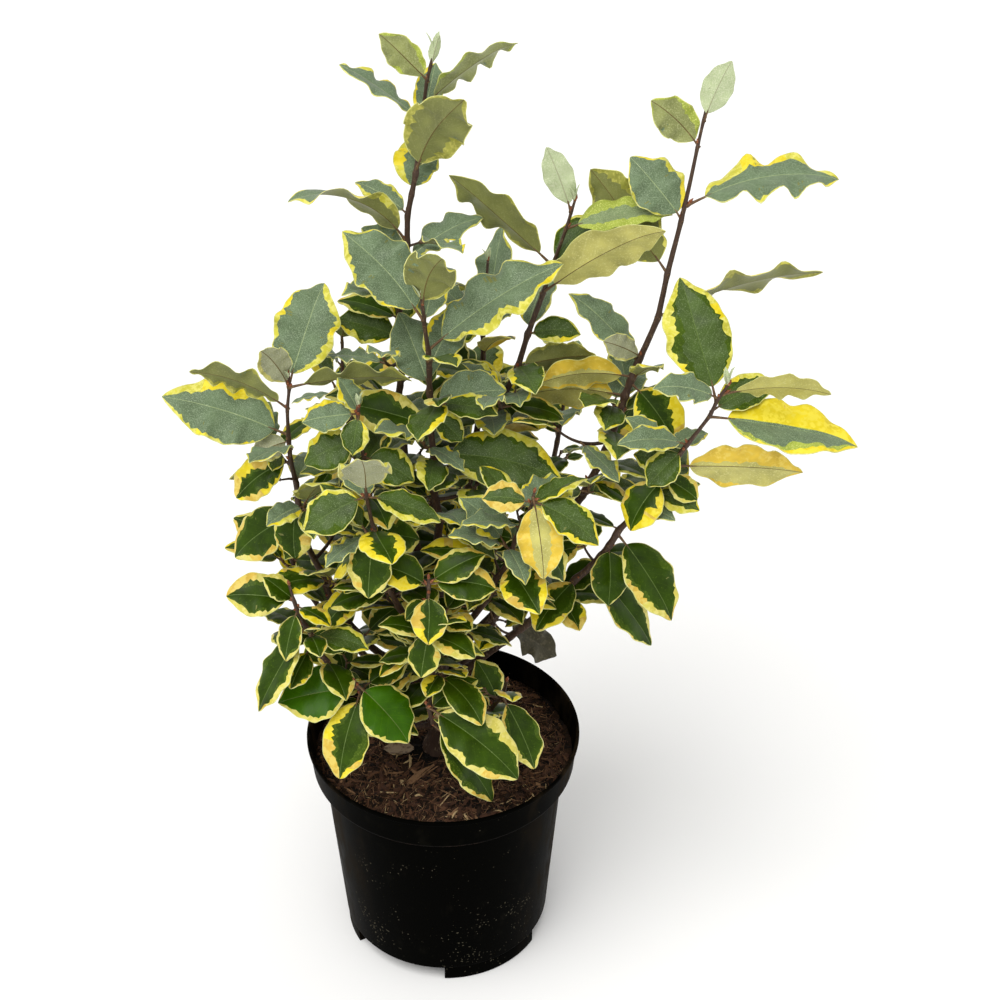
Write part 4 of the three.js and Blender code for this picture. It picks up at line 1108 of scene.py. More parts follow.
class Heap:
    """Points and faces of one piece as they are added, with each face's paint and map."""

    def __init__(self):
        self.points = []
        self.faces = []
        self.paints = []
        self.marks = []
        self.cells = []
        self.count = 0

    def add(self, points, faces, paints, marks=None, cells=None):
        faces = np.asarray(faces)
        self.points.append(np.asarray(points, float))
        self.faces.append(faces + self.count)
        self.paints.append(np.broadcast_to(paints, len(faces)))
        none = np.zeros((*faces.shape, 2))
        self.marks.append(none if marks is None else marks)
        self.cells.append(none if cells is None else cells)
        self.count += len(points)

    def add_round(self, points, rows, sides, paints, inward=False):
        """Rings of points, closed at both ends to the last two points."""
        walls = grid_faces(rows, sides, True)
        self.add(points, walls if inward else walls[:, ::-1], paints)
        k = np.arange(sides)
        m = (k + 1) % sides
        if inward:
            k, m = m, k
        first = rows * sides
        last = first - sides
        ends = np.concatenate([
            np.stack([np.full(sides, first), m, k], 1),
            np.stack([np.full(sides, first + 1), last + k, last + m], 1),
        ])
        self.add(points[:0], ends - len(points), np.ravel(paints)[-1])

    def add_prism(self, points, rows, sides, paint_index, turned=True, ends_turned=False):
        """Rings of points, closed by a flat face at each end."""
        walls = grid_faces(rows, sides, True)
        self.add(points, walls[:, ::-1] if turned else walls, paint_index)
        first = np.arange(sides)[None, ::-1]
        last = np.arange(sides)[None] + (rows - 1) * sides
        if ends_turned:
            first, last = first[:, ::-1], last[:, ::-1]
        self.add(points[:0], np.concatenate([first, last]) - len(points), paint_index)

    def make(self, name, materials, slot, *nodes, mapped=False, smooth=True):
        """The piece, riding on the root and in place of the nodes. Its slot is not used."""
        points = np.concatenate(self.points) * MM
        corners = np.concatenate([f.ravel() for f in self.faces])
        sizes = np.concatenate([np.full(len(f), f.shape[1]) for f in self.faces])
        mesh = bpy.data.meshes.new(name)
        mesh.vertices.add(len(points))
        mesh.vertices.foreach_set("co", points.astype(np.float32).ravel())
        mesh.loops.add(len(corners))
        mesh.loops.foreach_set("vertex_index", corners.astype(np.int32))
        mesh.polygons.add(len(sizes))
        starts = np.concatenate([[0], np.cumsum(sizes)[:-1]])
        mesh.polygons.foreach_set("loop_start", starts.astype(np.int32))
        mesh.polygons.foreach_set("material_index", np.concatenate(self.paints).astype(np.int32))
        mesh.polygons.foreach_set("use_smooth", np.full(len(sizes), smooth))
        for material in materials:
            mesh.materials.append(material)
        if mapped:
            for label, parts in (("leaf", self.marks), ("OFBake", self.cells)):
                layer = mesh.uv_layers.new(name=label)
                flat = np.concatenate([part.reshape(-1, 2) for part in parts])
                layer.data.foreach_set("uv", flat.astype(np.float32).ravel())
        mesh.update()
        mesh.validate()
        piece = bpy.data.objects.new(name, mesh)
        bpy.context.scene.collection.objects.link(piece)
        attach(piece, "root")
        if nodes:
            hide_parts(*nodes)
        return piece


def eased(share):
    return share**2 * (3 - 2 * share)


def lattice(rng, rows, columns, cells_along, cells_round):
    """Smooth chance values over a skin that closes round its columns, from 0 to 1."""
    knots = rng.random((cells_along + 2, cells_round))
    y = np.linspace(0, cells_along, rows)
    x = np.arange(columns) * cells_round / columns
    i = y.astype(int)
    j = x.astype(int)
    fy = eased(y - i)
    fx = eased(x - j)
    j2 = (j + 1) % cells_round
    low = knots[i][:, j] * (1 - fx) + knots[i][:, j2] * fx
    high = knots[i + 1][:, j] * (1 - fx) + knots[i + 1][:, j2] * fx
    return low * (1 - fy[:, None]) + high * fy[:, None]


def round_turns(sides):
    return np.arange(sides) * 2 * math.pi / sides


def tube(heap, centres, radii, sides, paint_index):
    """A closed round body along centres, whose radii are one a row or one a point."""
    centres = np.asarray(centres, float)
    ahead = unit(np.gradient(centres, axis=0))
    side = np.cross(ahead[0], [0.31, 0.95, 0.05])
    turns = round_turns(sides)
    rings = []
    radii = np.broadcast_to(np.asarray(radii, float).reshape(len(centres), -1), (len(centres), sides))
    for k, centre in enumerate(centres):
        side = side - ahead[k] * (side @ ahead[k])
        side = side / np.linalg.norm(side)
        over = np.cross(ahead[k], side)
        ring = np.outer(np.cos(turns), side) + np.outer(np.sin(turns), over)
        rings.append(centre + ring * radii[k][:, None])
    points = np.concatenate([*rings, centres[:1], centres[-1:]])
    heap.add_round(points, len(centres), sides, paint_index)


def jagged(rng, u, knots, teeth=0.0):
    """An uneven line along a leaf, from -1 to 1, with small teeth that point to the tip."""
    line = np.interp(u * knots, np.arange(knots + 2), rng.uniform(-1, 1, knots + 2))
    if teeth:
        runs = u * rng.uniform(9, 13) + rng.random()
        line = line + teeth * ((runs % 1) - 0.5) * rng.uniform(0.4, 1.4, len(u))
    return line


def leaf_look(inner, outer, band, back, back_band, green, uneven, wave, fold, curl, **more):
    """A leaf's paints from rib to edge and those of its back, how far the green reaches, how uneven
    that is, the wave of its edge, its fold in degrees and how far its edge curls down."""
    usual = dict(rib="rib", back_rib="stalk", rim="cream", warm=None, runs=None, skew=0.0, tip=0.72,
                 heart=0.8, blunt=0.1, narrow=1.03, ragged=0.0)
    return SimpleNamespace(inner=inner, outer=outer, band=band, back=back, back_band=back_band,
                           green=green, uneven=uneven, wave=wave, fold=fold, curl=curl,
                           **{**usual, **more})


# Besides: rib, back_rib and rim are paints; warm is the paint of the yellow's warmer runs and runs
# that of the back's. skew is how much more yellow one side has, tip where the green narrows, heart
# how far the inner green reaches, blunt and narrow shape the outline, and ragged tears its edge.
LOOKS = {
    "grey": leaf_look("grey", "grey", "citron", "khaki", "ochre", 0.91, 0.19, 0.24, 18, 0.12, skew=0.24,
                      rib="pale rib", warm="lemon"),
    "khaki": leaf_look("grey", "grey", "citron", "khaki", "ochre", 0.86, 0.26, 0.18, 16, 0.1,
                       rib="pale rib", warm="lemon", runs="citron"),
    "silver": leaf_look("grey", "pale", "citron", "silver", "straw", 0.88, 0.16, 0.17, 20, 0.1,
                        rib="pale rib"),
    "sage": leaf_look("grey", "grey", "citron", "sage", "lime", 0.87, 0.22, 0.2, 18, 0.1, rib="pale rib"),
    "straw": leaf_look("grey", "green", "lemon", "straw", "straw", 0.74, 0.2, 0.13, 15, 0.1,
                       rib="pale rib", warm="lemon"),
    "amber": leaf_look("green", "moss", "amber", "straw", "gold", 0.5, 0.16, 0.16, 14, 0.1, skew=0.42,
                       tip=0.85, warm="amber"),
    "green": leaf_look("green", "moss", "citron", "olive", "straw", 0.84, 0.22, 0.13, 17, 0.12,
                       warm="lemon"),
    "deep": leaf_look("deep", "moss", "butter", "olive", "straw", 0.85, 0.22, 0.08, 17, 0.16, tip=0.55,
                      blunt=0.18, warm="amber"),
    "bright": leaf_look("bright", "bright", "butter", "olive", "straw", 0.86, 0.14, 0.07, 11, 0.14,
                        blunt=0.08),
    "gold": leaf_look("deep", "moss", "lemon", "straw", "gold", 0.67, 0.32, 0.07, 15, 0.14, skew=0.25,
                      tip=0.35, heart=0.7, blunt=0.26, warm="amber"),
    "lemon": leaf_look("grey", "lime", "lemon", "straw", "gold", 0.42, 0.13, 0.14, 14, 0.1, skew=0.44,
                       tip=0.85, rib="pale"),
    "lime": leaf_look("pale", "lime", "lime", "khaki", "straw", 0.7, 0.25, 0.14, 14, 0.1, heart=0.6,
                      rib="pale", rim="lime"),
    "young": leaf_look("young", "young", "young", "young", "young", 0.9, 0.05, 0.07, 22, 0.05, narrow=0.8,
                       rib="young", back_rib="silver", rim="young"),
    "brown": leaf_look("brown", "brown", "brown", "brown", "brown", 0.8, 0.15, 0.2, 10, 0.1, ragged=0.34,
                       rib="brown", rim="brown"),
    "worn": leaf_look("dry", "moss", "butter", "dry", "dry", 0.7, 0.35, 0.12, 12, 0.1, heart=0.6,
                      rib="dry", rim="butter"),
}

# The looks of leaves without one of their own, from the top down: above which height, and the
# draw below which a leaf takes each
LOOKS_BY_HEIGHT = [
    (470, [("grey", 0.75), ("green", 1)]),
    (360, [("grey", 0.35), ("green", 0.75), ("deep", 0.9), ("gold", 1)]),
    (0, [("green", 0.15), ("gold", 0.4), ("deep", 1)]),
]


def look_of(leaf, rng):
    """The look's name and how much broader its yellow edge is than usual."""
    if leaf.look:
        name = leaf.look.rstrip("+-^")
        return name, leaf.look.count("+") - leaf.look.count("-")
    height = leaf.root[2] + 0.5 * leaf.length * math.sin(math.radians(leaf.rise))
    draw = rng.random()
    looks = next(looks for least, looks in LOOKS_BY_HEIGHT if height > least)
    name = next(name for name, below in looks if draw < below)
    return name, rng.choice([-1, 0, 0, 1])


# Which way is up in the picture, for the leaves whose yellow lies on their upper side
VIEW_UP = np.array([0, 0.57, 0.82])

# A blade's waist before its pointed tip, in shares of its breadth and length
WAIST_DEPTH = 0.2
WAIST_AT = 0.91
WAIST_REACH = 0.08

# In millimetres: the least half breadth at foot and tip, half the rib, and the pale rim's breadth
LEAST_HALF = (0.65, 0.2)
RIB_HALF = 0.36
RIM_BREADTH = 0.5

# A blade's half thickness, its rib's groove above and ridge below, each with its height and reach
BLADE_HALF_THICK = 0.2
GROOVE = (0.18, 0.7)
RIDGE = (0.5, 0.8)

# Each side of a leaf has its own cell on the baked map, with some room round it
CELL_COLUMNS = 8
CELL_ROOM = 0.05

# A blade's rows of points for each millimetre, the fewest and the most
ROWS_A_MM = 0.62
ROWS_RANGE = (10, 44)

# How flat the leaves of the rule are beside those that stand out, how much a plus broadens the
# yellow edge, and by how many uneven steps it leans to one side and varies on each
RULE_WAVE = 0.7
BROADER_STEP = 0.09
LEAN_STEPS = 1.1
SIDE_STEPS = 0.4


def blade_half(look, rng, u, half):
    """Half the blade's breadth from foot to tip, with its blunt or pointed end."""
    blunt = rng.uniform(0, look.blunt)
    outline = half * (1 - 0.55 * blunt) * (1.0005 - u) ** -blunt
    outline = outline * (1 - WAIST_DEPTH * np.exp(-(((u - WAIST_AT) / WAIST_REACH) ** 2)))
    half = np.maximum(outline * look.narrow, mix(*LEAST_HALF, u))
    if look.ragged:
        half = half * (1 + look.ragged * jagged(rng, u, 9))
    return half


def colour_lines(look, rng, u, half, reach):
    """Where one side's colours meet from rib to edge, as shares of its half breadth."""
    spread = look.uneven
    line = reach + spread * (1.1 * jagged(rng, u, 3) + 0.5 * jagged(rng, u, 13, 1.0))
    line = line + 0.4 * spread * rng.uniform(-1, 1, len(u))
    line = line * (1 - rng.uniform(0.1, 0.95) * np.clip((u - look.tip) / (1 - look.tip), 0, 1) ** 1.3)
    edge = 1 - np.clip(RIM_BREADTH / half, 0.02, 0.4)
    green = np.clip(line, 0.1, edge - 0.01)
    rib = np.clip(RIB_HALF / half * (1 - 0.5 * u), 0.01, 0.3)
    green = np.maximum(green, rib + 0.04)
    pale = green * np.clip(look.heart + 0.22 * jagged(rng, u, 12, 0.5), 0.3, 0.97)
    pale = np.maximum(pale, rib + 0.02)
    green = np.maximum(green, pale + 0.01)
    edge = np.maximum(edge, green + 0.01)
    return np.stack([0 * u, rib, (rib + pale) / 2, pale, green, (green + edge) / 2, edge, 0 * u + 1], 1)


def edge_wave(rng, u, most):
    """How one side's edge rises and falls along the blade."""
    size = most * rng.uniform(0.6, 1.25)
    count = rng.uniform(2.4, 4.0)
    wave = np.sin(2 * math.pi * (count * u + rng.random()))
    wave = wave + 0.3 * np.sin(2 * math.pi * (1.9 * count * u + rng.random()))
    return size * wave * np.sin(math.pi * np.clip(u, 0, 1)) ** 0.6


def blade_skins(leaf, look, rng, u, f, half, w, waves):
    """The points of the blade's upper and under side, folded, waved and curled."""
    away = np.abs(w)
    s = w * half[:, None] * (1 + 0.03 * np.sin(23 * u + leaf.seed)[:, None])
    wave = np.where(w > 0, waves[0][:, None], waves[1][:, None])
    fold = math.radians(look.fold * rng.uniform(0.7, 1.3)) * (1 - 0.45 * u)[:, None]
    high = np.abs(s) * np.sin(fold) * (1 - 0.25 * away) + wave * away**1.6
    high = high - look.curl * half[:, None] * away**3.5
    sway = f.half.max() * 0.07 * rng.uniform(-1, 1) * np.sin(math.pi * u * rng.uniform(0.8, 1.6))
    hook = -rng.uniform(0, 0.07) * leaf.length * np.clip(u - 0.7, 0, 1) ** 2 * 6
    lateral = s * np.cos(fold) + sway[:, None]
    surface = (f.place[:, None] + f.side[:, None] * lateral[..., None]
               + f.top[:, None] * (high + hook[:, None])[..., None])
    groove = GROOVE[0] * np.exp(-((s / GROOVE[1]) ** 2))
    ridge = RIDGE[0] * (1 - 0.8 * u)[:, None] * np.exp(-((s / RIDGE[1]) ** 2))
    thick = BLADE_HALF_THICK * (1 - 0.45 * away**4)
    upper = surface + f.top[:, None] * (thick - groove)[..., None]
    under = surface - f.top[:, None] * (thick + ridge)[..., None]
    return np.concatenate([upper.reshape(-1, 3), under.reshape(-1, 3)])


def strip_paints(parts, rows):
    """The slots of a side's strips from edge to edge, row after row, from its half's parts."""
    slots = [LEAF_SLOTS.index(part) for part in parts]
    return np.tile(slots[::-1] + slots, (rows - 1, 1))


def blade_paints(look, rng, u):
    """The slots of the blade's upper and under side, with their warmer runs."""
    rows = len(u)
    upper = strip_paints([look.rib, look.inner, look.inner, look.outer, look.band, look.band, look.rim],
                         rows)
    under = strip_paints([look.back_rib, look.back, look.back, look.back, look.back_band,
                          look.back_band, look.rim], rows)
    if look.warm:
        left = jagged(rng, u[1:], 5)[:, None] > 0.3
        right = jagged(rng, u[1:], 5)[:, None] > 0.3
        strips = upper.shape[1]
        warm = np.where(np.arange(strips) < strips // 2, left, right)
        upper = np.where(warm & (upper == LEAF_SLOTS.index(look.band)), LEAF_SLOTS.index(look.warm), upper)
    if look.runs:
        runs = jagged(rng, u[1:], 4)[:, None] > 0.55
        under = np.where(runs & (under == LEAF_SLOTS.index(look.back_band)),
                         LEAF_SLOTS.index(look.runs), under)
    return upper.ravel(), under.ravel()


def cell_map(marks, number, cells_high):
    """The leaf's own marks, from 0 to 1, put into a cell of the baked map."""
    corner = [number % CELL_COLUMNS, number // CELL_COLUMNS]
    inside = CELL_ROOM + (1 - 2 * CELL_ROOM) * marks
    return (inside + corner) / [CELL_COLUMNS, cells_high]


def leaf_blade(heap, leaf, cell, cells_high):
    """One leaf: its blade, folded and wavy, in its colours on both sides."""
    rng = np.random.default_rng(leaf.seed + 7)
    name, broader = look_of(leaf, rng)
    look = LOOKS[name]
    rows = int(np.clip(leaf.length * ROWS_A_MM, *ROWS_RANGE))
    x = np.linspace(0, 1, rows)
    u = 0.55 * x + 0.45 * (1 - np.cos(math.pi * x)) / 2
    f = leaf_frame(leaf, PETIOLE_SHARE + u * (1 - PETIOLE_SHARE))
    half = blade_half(look, rng, u, f.half)
    leaning = rng.uniform(-LEAN_STEPS, LEAN_STEPS) * look.uneven
    if leaf.look and leaf.look.endswith("^"):
        leaning = look.skew * np.sign(f.side[rows // 2] @ VIEW_UP)
    lines = []
    waves = []
    for side in (-1, 1):
        uneven = rng.uniform(-SIDE_STEPS, SIDE_STEPS) * look.uneven
        reach = look.green - BROADER_STEP * broader + side * leaning + uneven
        lines.append(colour_lines(look, rng, u, half, reach))
        waves.append(edge_wave(rng, u, look.wave * f.half.max() * (1 if leaf.look else RULE_WAVE)))
    w = np.concatenate([-lines[1][:, :0:-1], lines[0]], 1)
    points = blade_skins(leaf, look, rng, u, f, half, w, waves)
    upper, under = blade_paints(look, rng, u)
    faces = grid_faces(*w.shape)
    turned = faces[:, ::-1]
    marks = np.stack([(w + 1) / 2, np.broadcast_to(u[:, None], w.shape)], -1).reshape(-1, 2)
    upper_map = cell_map(marks, 2 * cell, cells_high)
    under_map = cell_map(marks, 2 * cell + 1, cells_high)
    heap.add(points, faces, upper, marks[faces], upper_map[faces])
    heap.add(points[:0], turned + w.size - len(points), under, marks[turned], under_map[turned])
    rims = rim_faces(*w.shape)
    flat = rims % w.size
    heap.add(points[:0], rims - len(points), LEAF_SLOTS.index(look.rim), marks[flat], upper_map[flat])


def petiole(heap, leaf):
    """The stalk from the stem's skin to the rib."""
    t = np.linspace(0.0, PETIOLE_SHARE + 0.05, 7)
    f = leaf_frame(leaf, t)
    size = mix(0.8, 1.15, np.clip((leaf.length - 20) / 50, 0, 1))
    radii = size * np.interp(t, [0, 0.03, 0.1, 0.18], [1.35, 0.85, 0.68, 0.45])
    centres = f.place - f.top * np.interp(t, [0, 0.13, 0.18], [0, 0.2, 0.3])[:, None]
    tube(heap, centres, radii, FINE_SIDES, STALK)


def bud(heap, place_at, ahead, length, radius):
    """A small scaly bud: a pointed body with a waist of scales."""
    s = np.linspace(0, 1, 7)
    shape = np.sin(math.pi * np.clip(s * 0.9 + 0.12, 0, 1)) ** 0.8
    shape = shape * (1 + 0.12 * np.sin(s * 14))
    centres = place_at + ahead * (s * length)[:, None]
    tube(heap, centres, np.maximum(radius * shape, 0.1), FINE_SIDES, BUD)


# How far a swelling reaches along a stem, how far a stem wanders and at how many places
SWELLING_REACH = 2.6
WANDER = 0.25
WANDER_KNOTS = 6

# The sides of each kind of stem's skin and the length of its steps, and the sides of stalks and buds
TRUNK_SKIN = (40, 0.9)
BOUGH_SKIN = (22, 1.1)
SHOOT_SKIN = (12, 1.5)
TWIG_SKIN = (8, 1.8)
FINE_SIDES = 7


def stem_skin(heap, rng, curve, a, b, radius_at, sides, step, paint_index, swellings=(), relief=0.07,
              bends=()):
    """A stem with its bark's relief, and a swelling and a bend where each leaf leaves it."""
    length = float(np.linalg.norm(curve(b) - curve(a))) * 1.03
    rows = max(8, int(length / step))
    s = np.linspace(a, b, rows)
    centres = curve(s)
    radii = radius_at(s)[:, None]
    long = lattice(rng, rows, sides, max(3, rows // 9), max(4, sides // 2))
    fine = lattice(rng, rows, sides, max(4, rows // 3), sides)
    skin = 1 + relief * (1.3 * (long - 0.5) + 0.9 * (fine - 0.5))
    for at, size in swellings:
        near = ((s - at) * length / (b - a) / SWELLING_REACH) ** 2
        skin = skin + size * np.exp(-near)[:, None]
    wander = rng.uniform(-1, 1, (WANDER_KNOTS, 3))
    share = np.linspace(0, WANDER_KNOTS - 1, rows)
    drift = np.stack([np.interp(share, np.arange(WANDER_KNOTS), axis) for axis in wander.T], 1)
    centres = centres + drift * WANDER * np.sin(math.pi * np.linspace(0, 1, rows))[:, None]
    if bends:
        nodes, offsets = zip(*bends)
        centres = centres + np.stack([np.interp(s, nodes, axis) for axis in np.transpose(offsets)], 1)
    tube(heap, centres, radii * skin, sides, paint_index)


# Young leaves only on the shoots that reach higher, the bark a little over the bare stem, and how
# rough it is
YOUNG_OVER = 455
YOUNG_COUNT = 3
BARK_OVER = 1.13
TRUNK_RELIEF = 0.12
BOUGH_RELIEF = 0.11

# A shoot swells and bends towards the leaf at each node, by shares of its radius there, and thins
# out at the tip
NODE_SWELLING = 0.2
NODE_BEND = 0.85
NODE_APART = 0.035
NODE_LAST = 0.985
TIP_THIN = ([0.8, 1.0], [1.0, 0.68])

# The share of leaves with a bud in their corner
BUDDED = 0.75


def dress_bark():
    """The trunk and boughs as one piece of scaly bark."""
    rng = np.random.default_rng(11)
    heap = Heap()
    forks = [(shoot.start, 0.12) for shoot in SHOOTS]
    stem_skin(heap, rng, trunk_curve, -0.03, 1.0, trunk_radius, *TRUNK_SKIN, OLD_BARK, forks,
              TRUNK_RELIEF)
    names = []
    for shoot in SHOOTS:
        if shoot.wood > 0:
            names.append(f"bough_{shoot.name}")
            knots = [(0.02, 0.35), (shoot.wood * 0.5, 0.12), (shoot.wood * 0.8, 0.12)]
            stem_skin(heap, rng, shoot.curve, 0, shoot.wood, shoot.radius_at, *BOUGH_SKIN, OLD_BARK,
                      knots, BOUGH_RELIEF)
    heap.make("bark", STEM_SLOTS, "bark", "trunk", *names)


def node_bends(shoot, leaves, start):
    """Where a shoot bends and by how much, from its foot to its tip."""
    bends = [(start, np.zeros(3))]
    for leaf in sorted(leaves, key=lambda leaf: leaf.at):
        if leaf.at - bends[-1][0] > NODE_APART and leaf.at < NODE_LAST:
            bends.append((leaf.at, NODE_BEND * float(shoot.radius_at(leaf.at)) * aim(leaf.heading, 0)))
    return bends + [(1.0, np.zeros(3))]


def dress_stems(shoot, leaves, rng):
    """One shoot's stems with their buds, and the stalks of its leaves."""
    stems = Heap()
    on_shoot = [leaf for leaf in leaves if leaf.stem == shoot.index]
    swellings = [(leaf.at, NODE_SWELLING) for leaf in on_shoot]
    start = max(shoot.wood - 0.01, 0.0)
    stem_skin(stems, rng, shoot.curve, start, 1.0,
              lambda s: BARK_OVER * shoot.radius_at(s) * np.interp(s, *TIP_THIN), *SHOOT_SKIN,
              NEW_BARK, swellings, bends=node_bends(shoot, on_shoot, start))
    for twig in shoot.stems + shoot.spurs:
        stem_skin(stems, rng, twig.curve, 0, 1.0, twig.radius_at, *TWIG_SKIN, NEW_BARK)
    for leaf in leaves:
        petiole(stems, leaf)
        if leaf.stem == shoot.index and rng.random() < BUDDED:
            ahead = unit(along(shoot.curve, leaf.at) * 0.8 + aim(leaf.heading, leaf.rise) * 0.6)
            radius = float(shoot.radius_at(leaf.at))
            length = rng.uniform(2.8, 5.6)
            bud(stems, leaf.root + ahead * radius * 0.8, ahead, length, rng.uniform(0.8, 1.15))
    ahead = along(shoot.curve, 1.0)
    bud(stems, shoot.curve(1.0) - ahead * 0.5, ahead, 5.0, 1.05)
    for twig in shoot.stems:
        ahead = along(twig.curve, 1.0)
        bud(stems, twig.curve(1.0) - ahead * 0.4, ahead, 3.2, 0.9)
    stems.make(f"stems_{shoot.name}", STEM_SLOTS, "bark", f"foliage_{shoot.name}")


def young_leaves(shoot, rng):
    """The small upright leaves at a tall shoot's tip."""
    tip = shoot.curve(1.0)
    ahead = along(shoot.curve, 1.0)
    return [
        SimpleNamespace(
            stem=shoot.index, shoot=shoot.index, at=1.0, root=tip - ahead * (1.5 - k),
            heading=shoot.turn + 130 * k, rise=62 + 8 * k, length=rng.uniform(8, 13),
            roll=0, broad=0.4, droop=20, twist=0, look="young",
            seed=shoot.seed + YOUNG_SEED + k,
        )
        for k in range(YOUNG_COUNT if tip[2] > YOUNG_OVER else 0)
    ]


def dress_mass(shoot):
    """One shoot's stems and its leaves, two pieces in place of its mass."""
    rng = np.random.default_rng(100 + shoot.index)
    leaves = [placed.leaf for placed in placed_leaves if placed.leaf.shoot == shoot.index]
    dress_stems(shoot, leaves, rng)
    leaves = leaves + young_leaves(shoot, rng)
    blades = Heap()
    cells_high = math.ceil(2 * len(leaves) / CELL_COLUMNS)
    for number, leaf in enumerate(leaves):
        leaf_blade(blades, leaf, number, cells_high)
    blades.make(f"leaves_{shoot.name}", list(LEAF_PAINTS.values()), "leaves", f"foliage_{shoot.name}",
                mapped=True)


def rounded(profile, radii, steps=5):
    """The profile with each inner corner rounded off by its radius."""
    points = [np.array(p, float) for p in profile]
    line = [points[0]]
    for k in range(1, len(points) - 1):
        before = points[k - 1] - points[k]
        after = points[k + 1] - points[k]
        room = min(np.linalg.norm(before), np.linalg.norm(after)) * 0.45
        cut = min(radii[k], room)
        a = points[k] + before / np.linalg.norm(before) * cut
        b = points[k] + after / np.linalg.norm(after) * cut
        for share in np.linspace(0, 1, steps):
            line.append((1 - share) ** 2 * a + 2 * share * (1 - share) * points[k] + share**2 * b)
    line.append(points[-1])
    return np.array(line)


def lathed(heap, line, sides, paint_index):
    """A turned body whose line starts and ends on the axis."""
    turns = round_turns(sides)
    out, up = line[1:-1].T
    rings = np.stack([
        np.outer(out, np.cos(turns)), np.outer(out, np.sin(turns)), np.outer(up, np.ones(sides)),
    ], -1)
    ends = np.array([[0, 0, line[0, 1]], [0, 0, line[-1, 1]]])
    heap.add_round(np.concatenate([rings.reshape(-1, 3), ends]), len(rings), sides, paint_index)


# Dust on the pot: from how far aside the streaks start and how softly, how fine streaks, clusters
# and specks are, where more is finer, how much the clusters count, how high over the foot there is
# more dust, and from which value a speck shows
DUST_ASIDE = 0.045
DUST_SOFT = 0.04
STREAK_FINENESS = 60.0
CLUSTER_FINENESS = 34.0
SPECK_FINENESS = 520.0
CLUSTER_SHARE = 0.6
FOOT_DUST_TOP = 0.13
FOOT_DUST_FULL = 0.02
FOOT_DUST_SHARE = 0.08
SPECK_EDGES = (0.8, 0.86)


def dust_group():
    """How much dried dust lies on the pot's wall: streaks on two sides, and pale specks in clusters."""
    tree, given, out = node_group("dust", [
        ("Reach", "NodeSocketFloat", 0.05),
        ("Speck size", "NodeSocketFloat", 520.0),
    ], [("Streaks", "NodeSocketFloat"), ("Specks", "NodeSocketFloat")])
    given = given.outputs
    place_on = object_place(tree)
    parts = split(tree, place_on)
    aside = maths(tree, "ABSOLUTE", parts["X"])
    sides = ranged(tree, aside, given["Reach"], maths(tree, "ADD", given["Reach"], DUST_SOFT))
    stretched = vector_maths(tree, "MULTIPLY", place_on, 1, (1.0, 1.0, 0.3))
    smear = ranged(tree, noise(tree, stretched, STREAK_FINENESS, 4.0, 0.65), 0.4, 0.75)
    feed(tree, out, "Streaks", maths(tree, "MULTIPLY", sides, smear))
    crowd = about(tree, noise(tree, place_on, CLUSTER_FINENESS), CLUSTER_SHARE)
    fine = noise(tree, place_on, given["Speck size"], 1.0)
    low = maths(tree, "MULTIPLY", ranged(tree, parts["Z"], FOOT_DUST_TOP, FOOT_DUST_FULL),
                FOOT_DUST_SHARE)
    lifted = maths(tree, "ADD", maths(tree, "ADD", fine, crowd), low)
    feed(tree, out, "Specks", ranged(tree, lifted, *SPECK_EDGES))
    return tree


def pot_material():
    """Black moulded plastic with dried dust and pale specks."""
    made, tree, shader = new_material("black pot plastic")
    dust = put_group(tree, dust_group(), Reach=DUST_ASIDE, Speck_size=SPECK_FINENESS)
    smears = put_group(tree, MOTTLE, Ground=paint(4, 4, 3), Patch=paint(15, 14, 10), Scale=70.0,
                       Start=0.56, Full=0.85, Stretch=(1.0, 1.0, 0.6))
    dusty = blended(tree, dust["Streaks"], smears["Color"], paint(42, 34, 23))
    feed(tree, shader, "Base Color", blended(tree, dust["Specks"], dusty, paint(72, 68, 56)))
    rough = maths(tree, "ADD", 0.34, maths(tree, "MULTIPLY", dust["Streaks"], 0.35))
    feed(tree, shader, "Roughness", rough)
    shader.inputs["Specular IOR Level"].default_value = 0.003
    raise_from(tree, shader, noise(tree, object_place(tree), 900.0, 2.0, 0.6), 0.25, 0.0002)
    return made


POT_SIDES = 180
FOOT_STEPS = 25


def pot_foot(heap, middle):
    """One low foot, an arc under the wall round the angle middle."""
    inner = BASE_RADIUS - 4
    outer = WALL_FOOT_RADIUS - 0.8
    top = FOOT_HEIGHT + 2.2
    section = rounded([(inner, top), (inner, 0), (outer, 0), (outer + 0.3, top)], [0, 1, 1.4, 0])
    out, up = section.T
    rings = []
    for share in np.linspace(-0.5, 0.5, FOOT_STEPS):
        turn = math.radians(middle + share * FOOT_SPAN)
        rings.append(np.stack([out * math.cos(turn), out * math.sin(turn), up], 1))
    heap.add_prism(np.concatenate(rings), FOOT_STEPS, len(section), 0, turned=False)


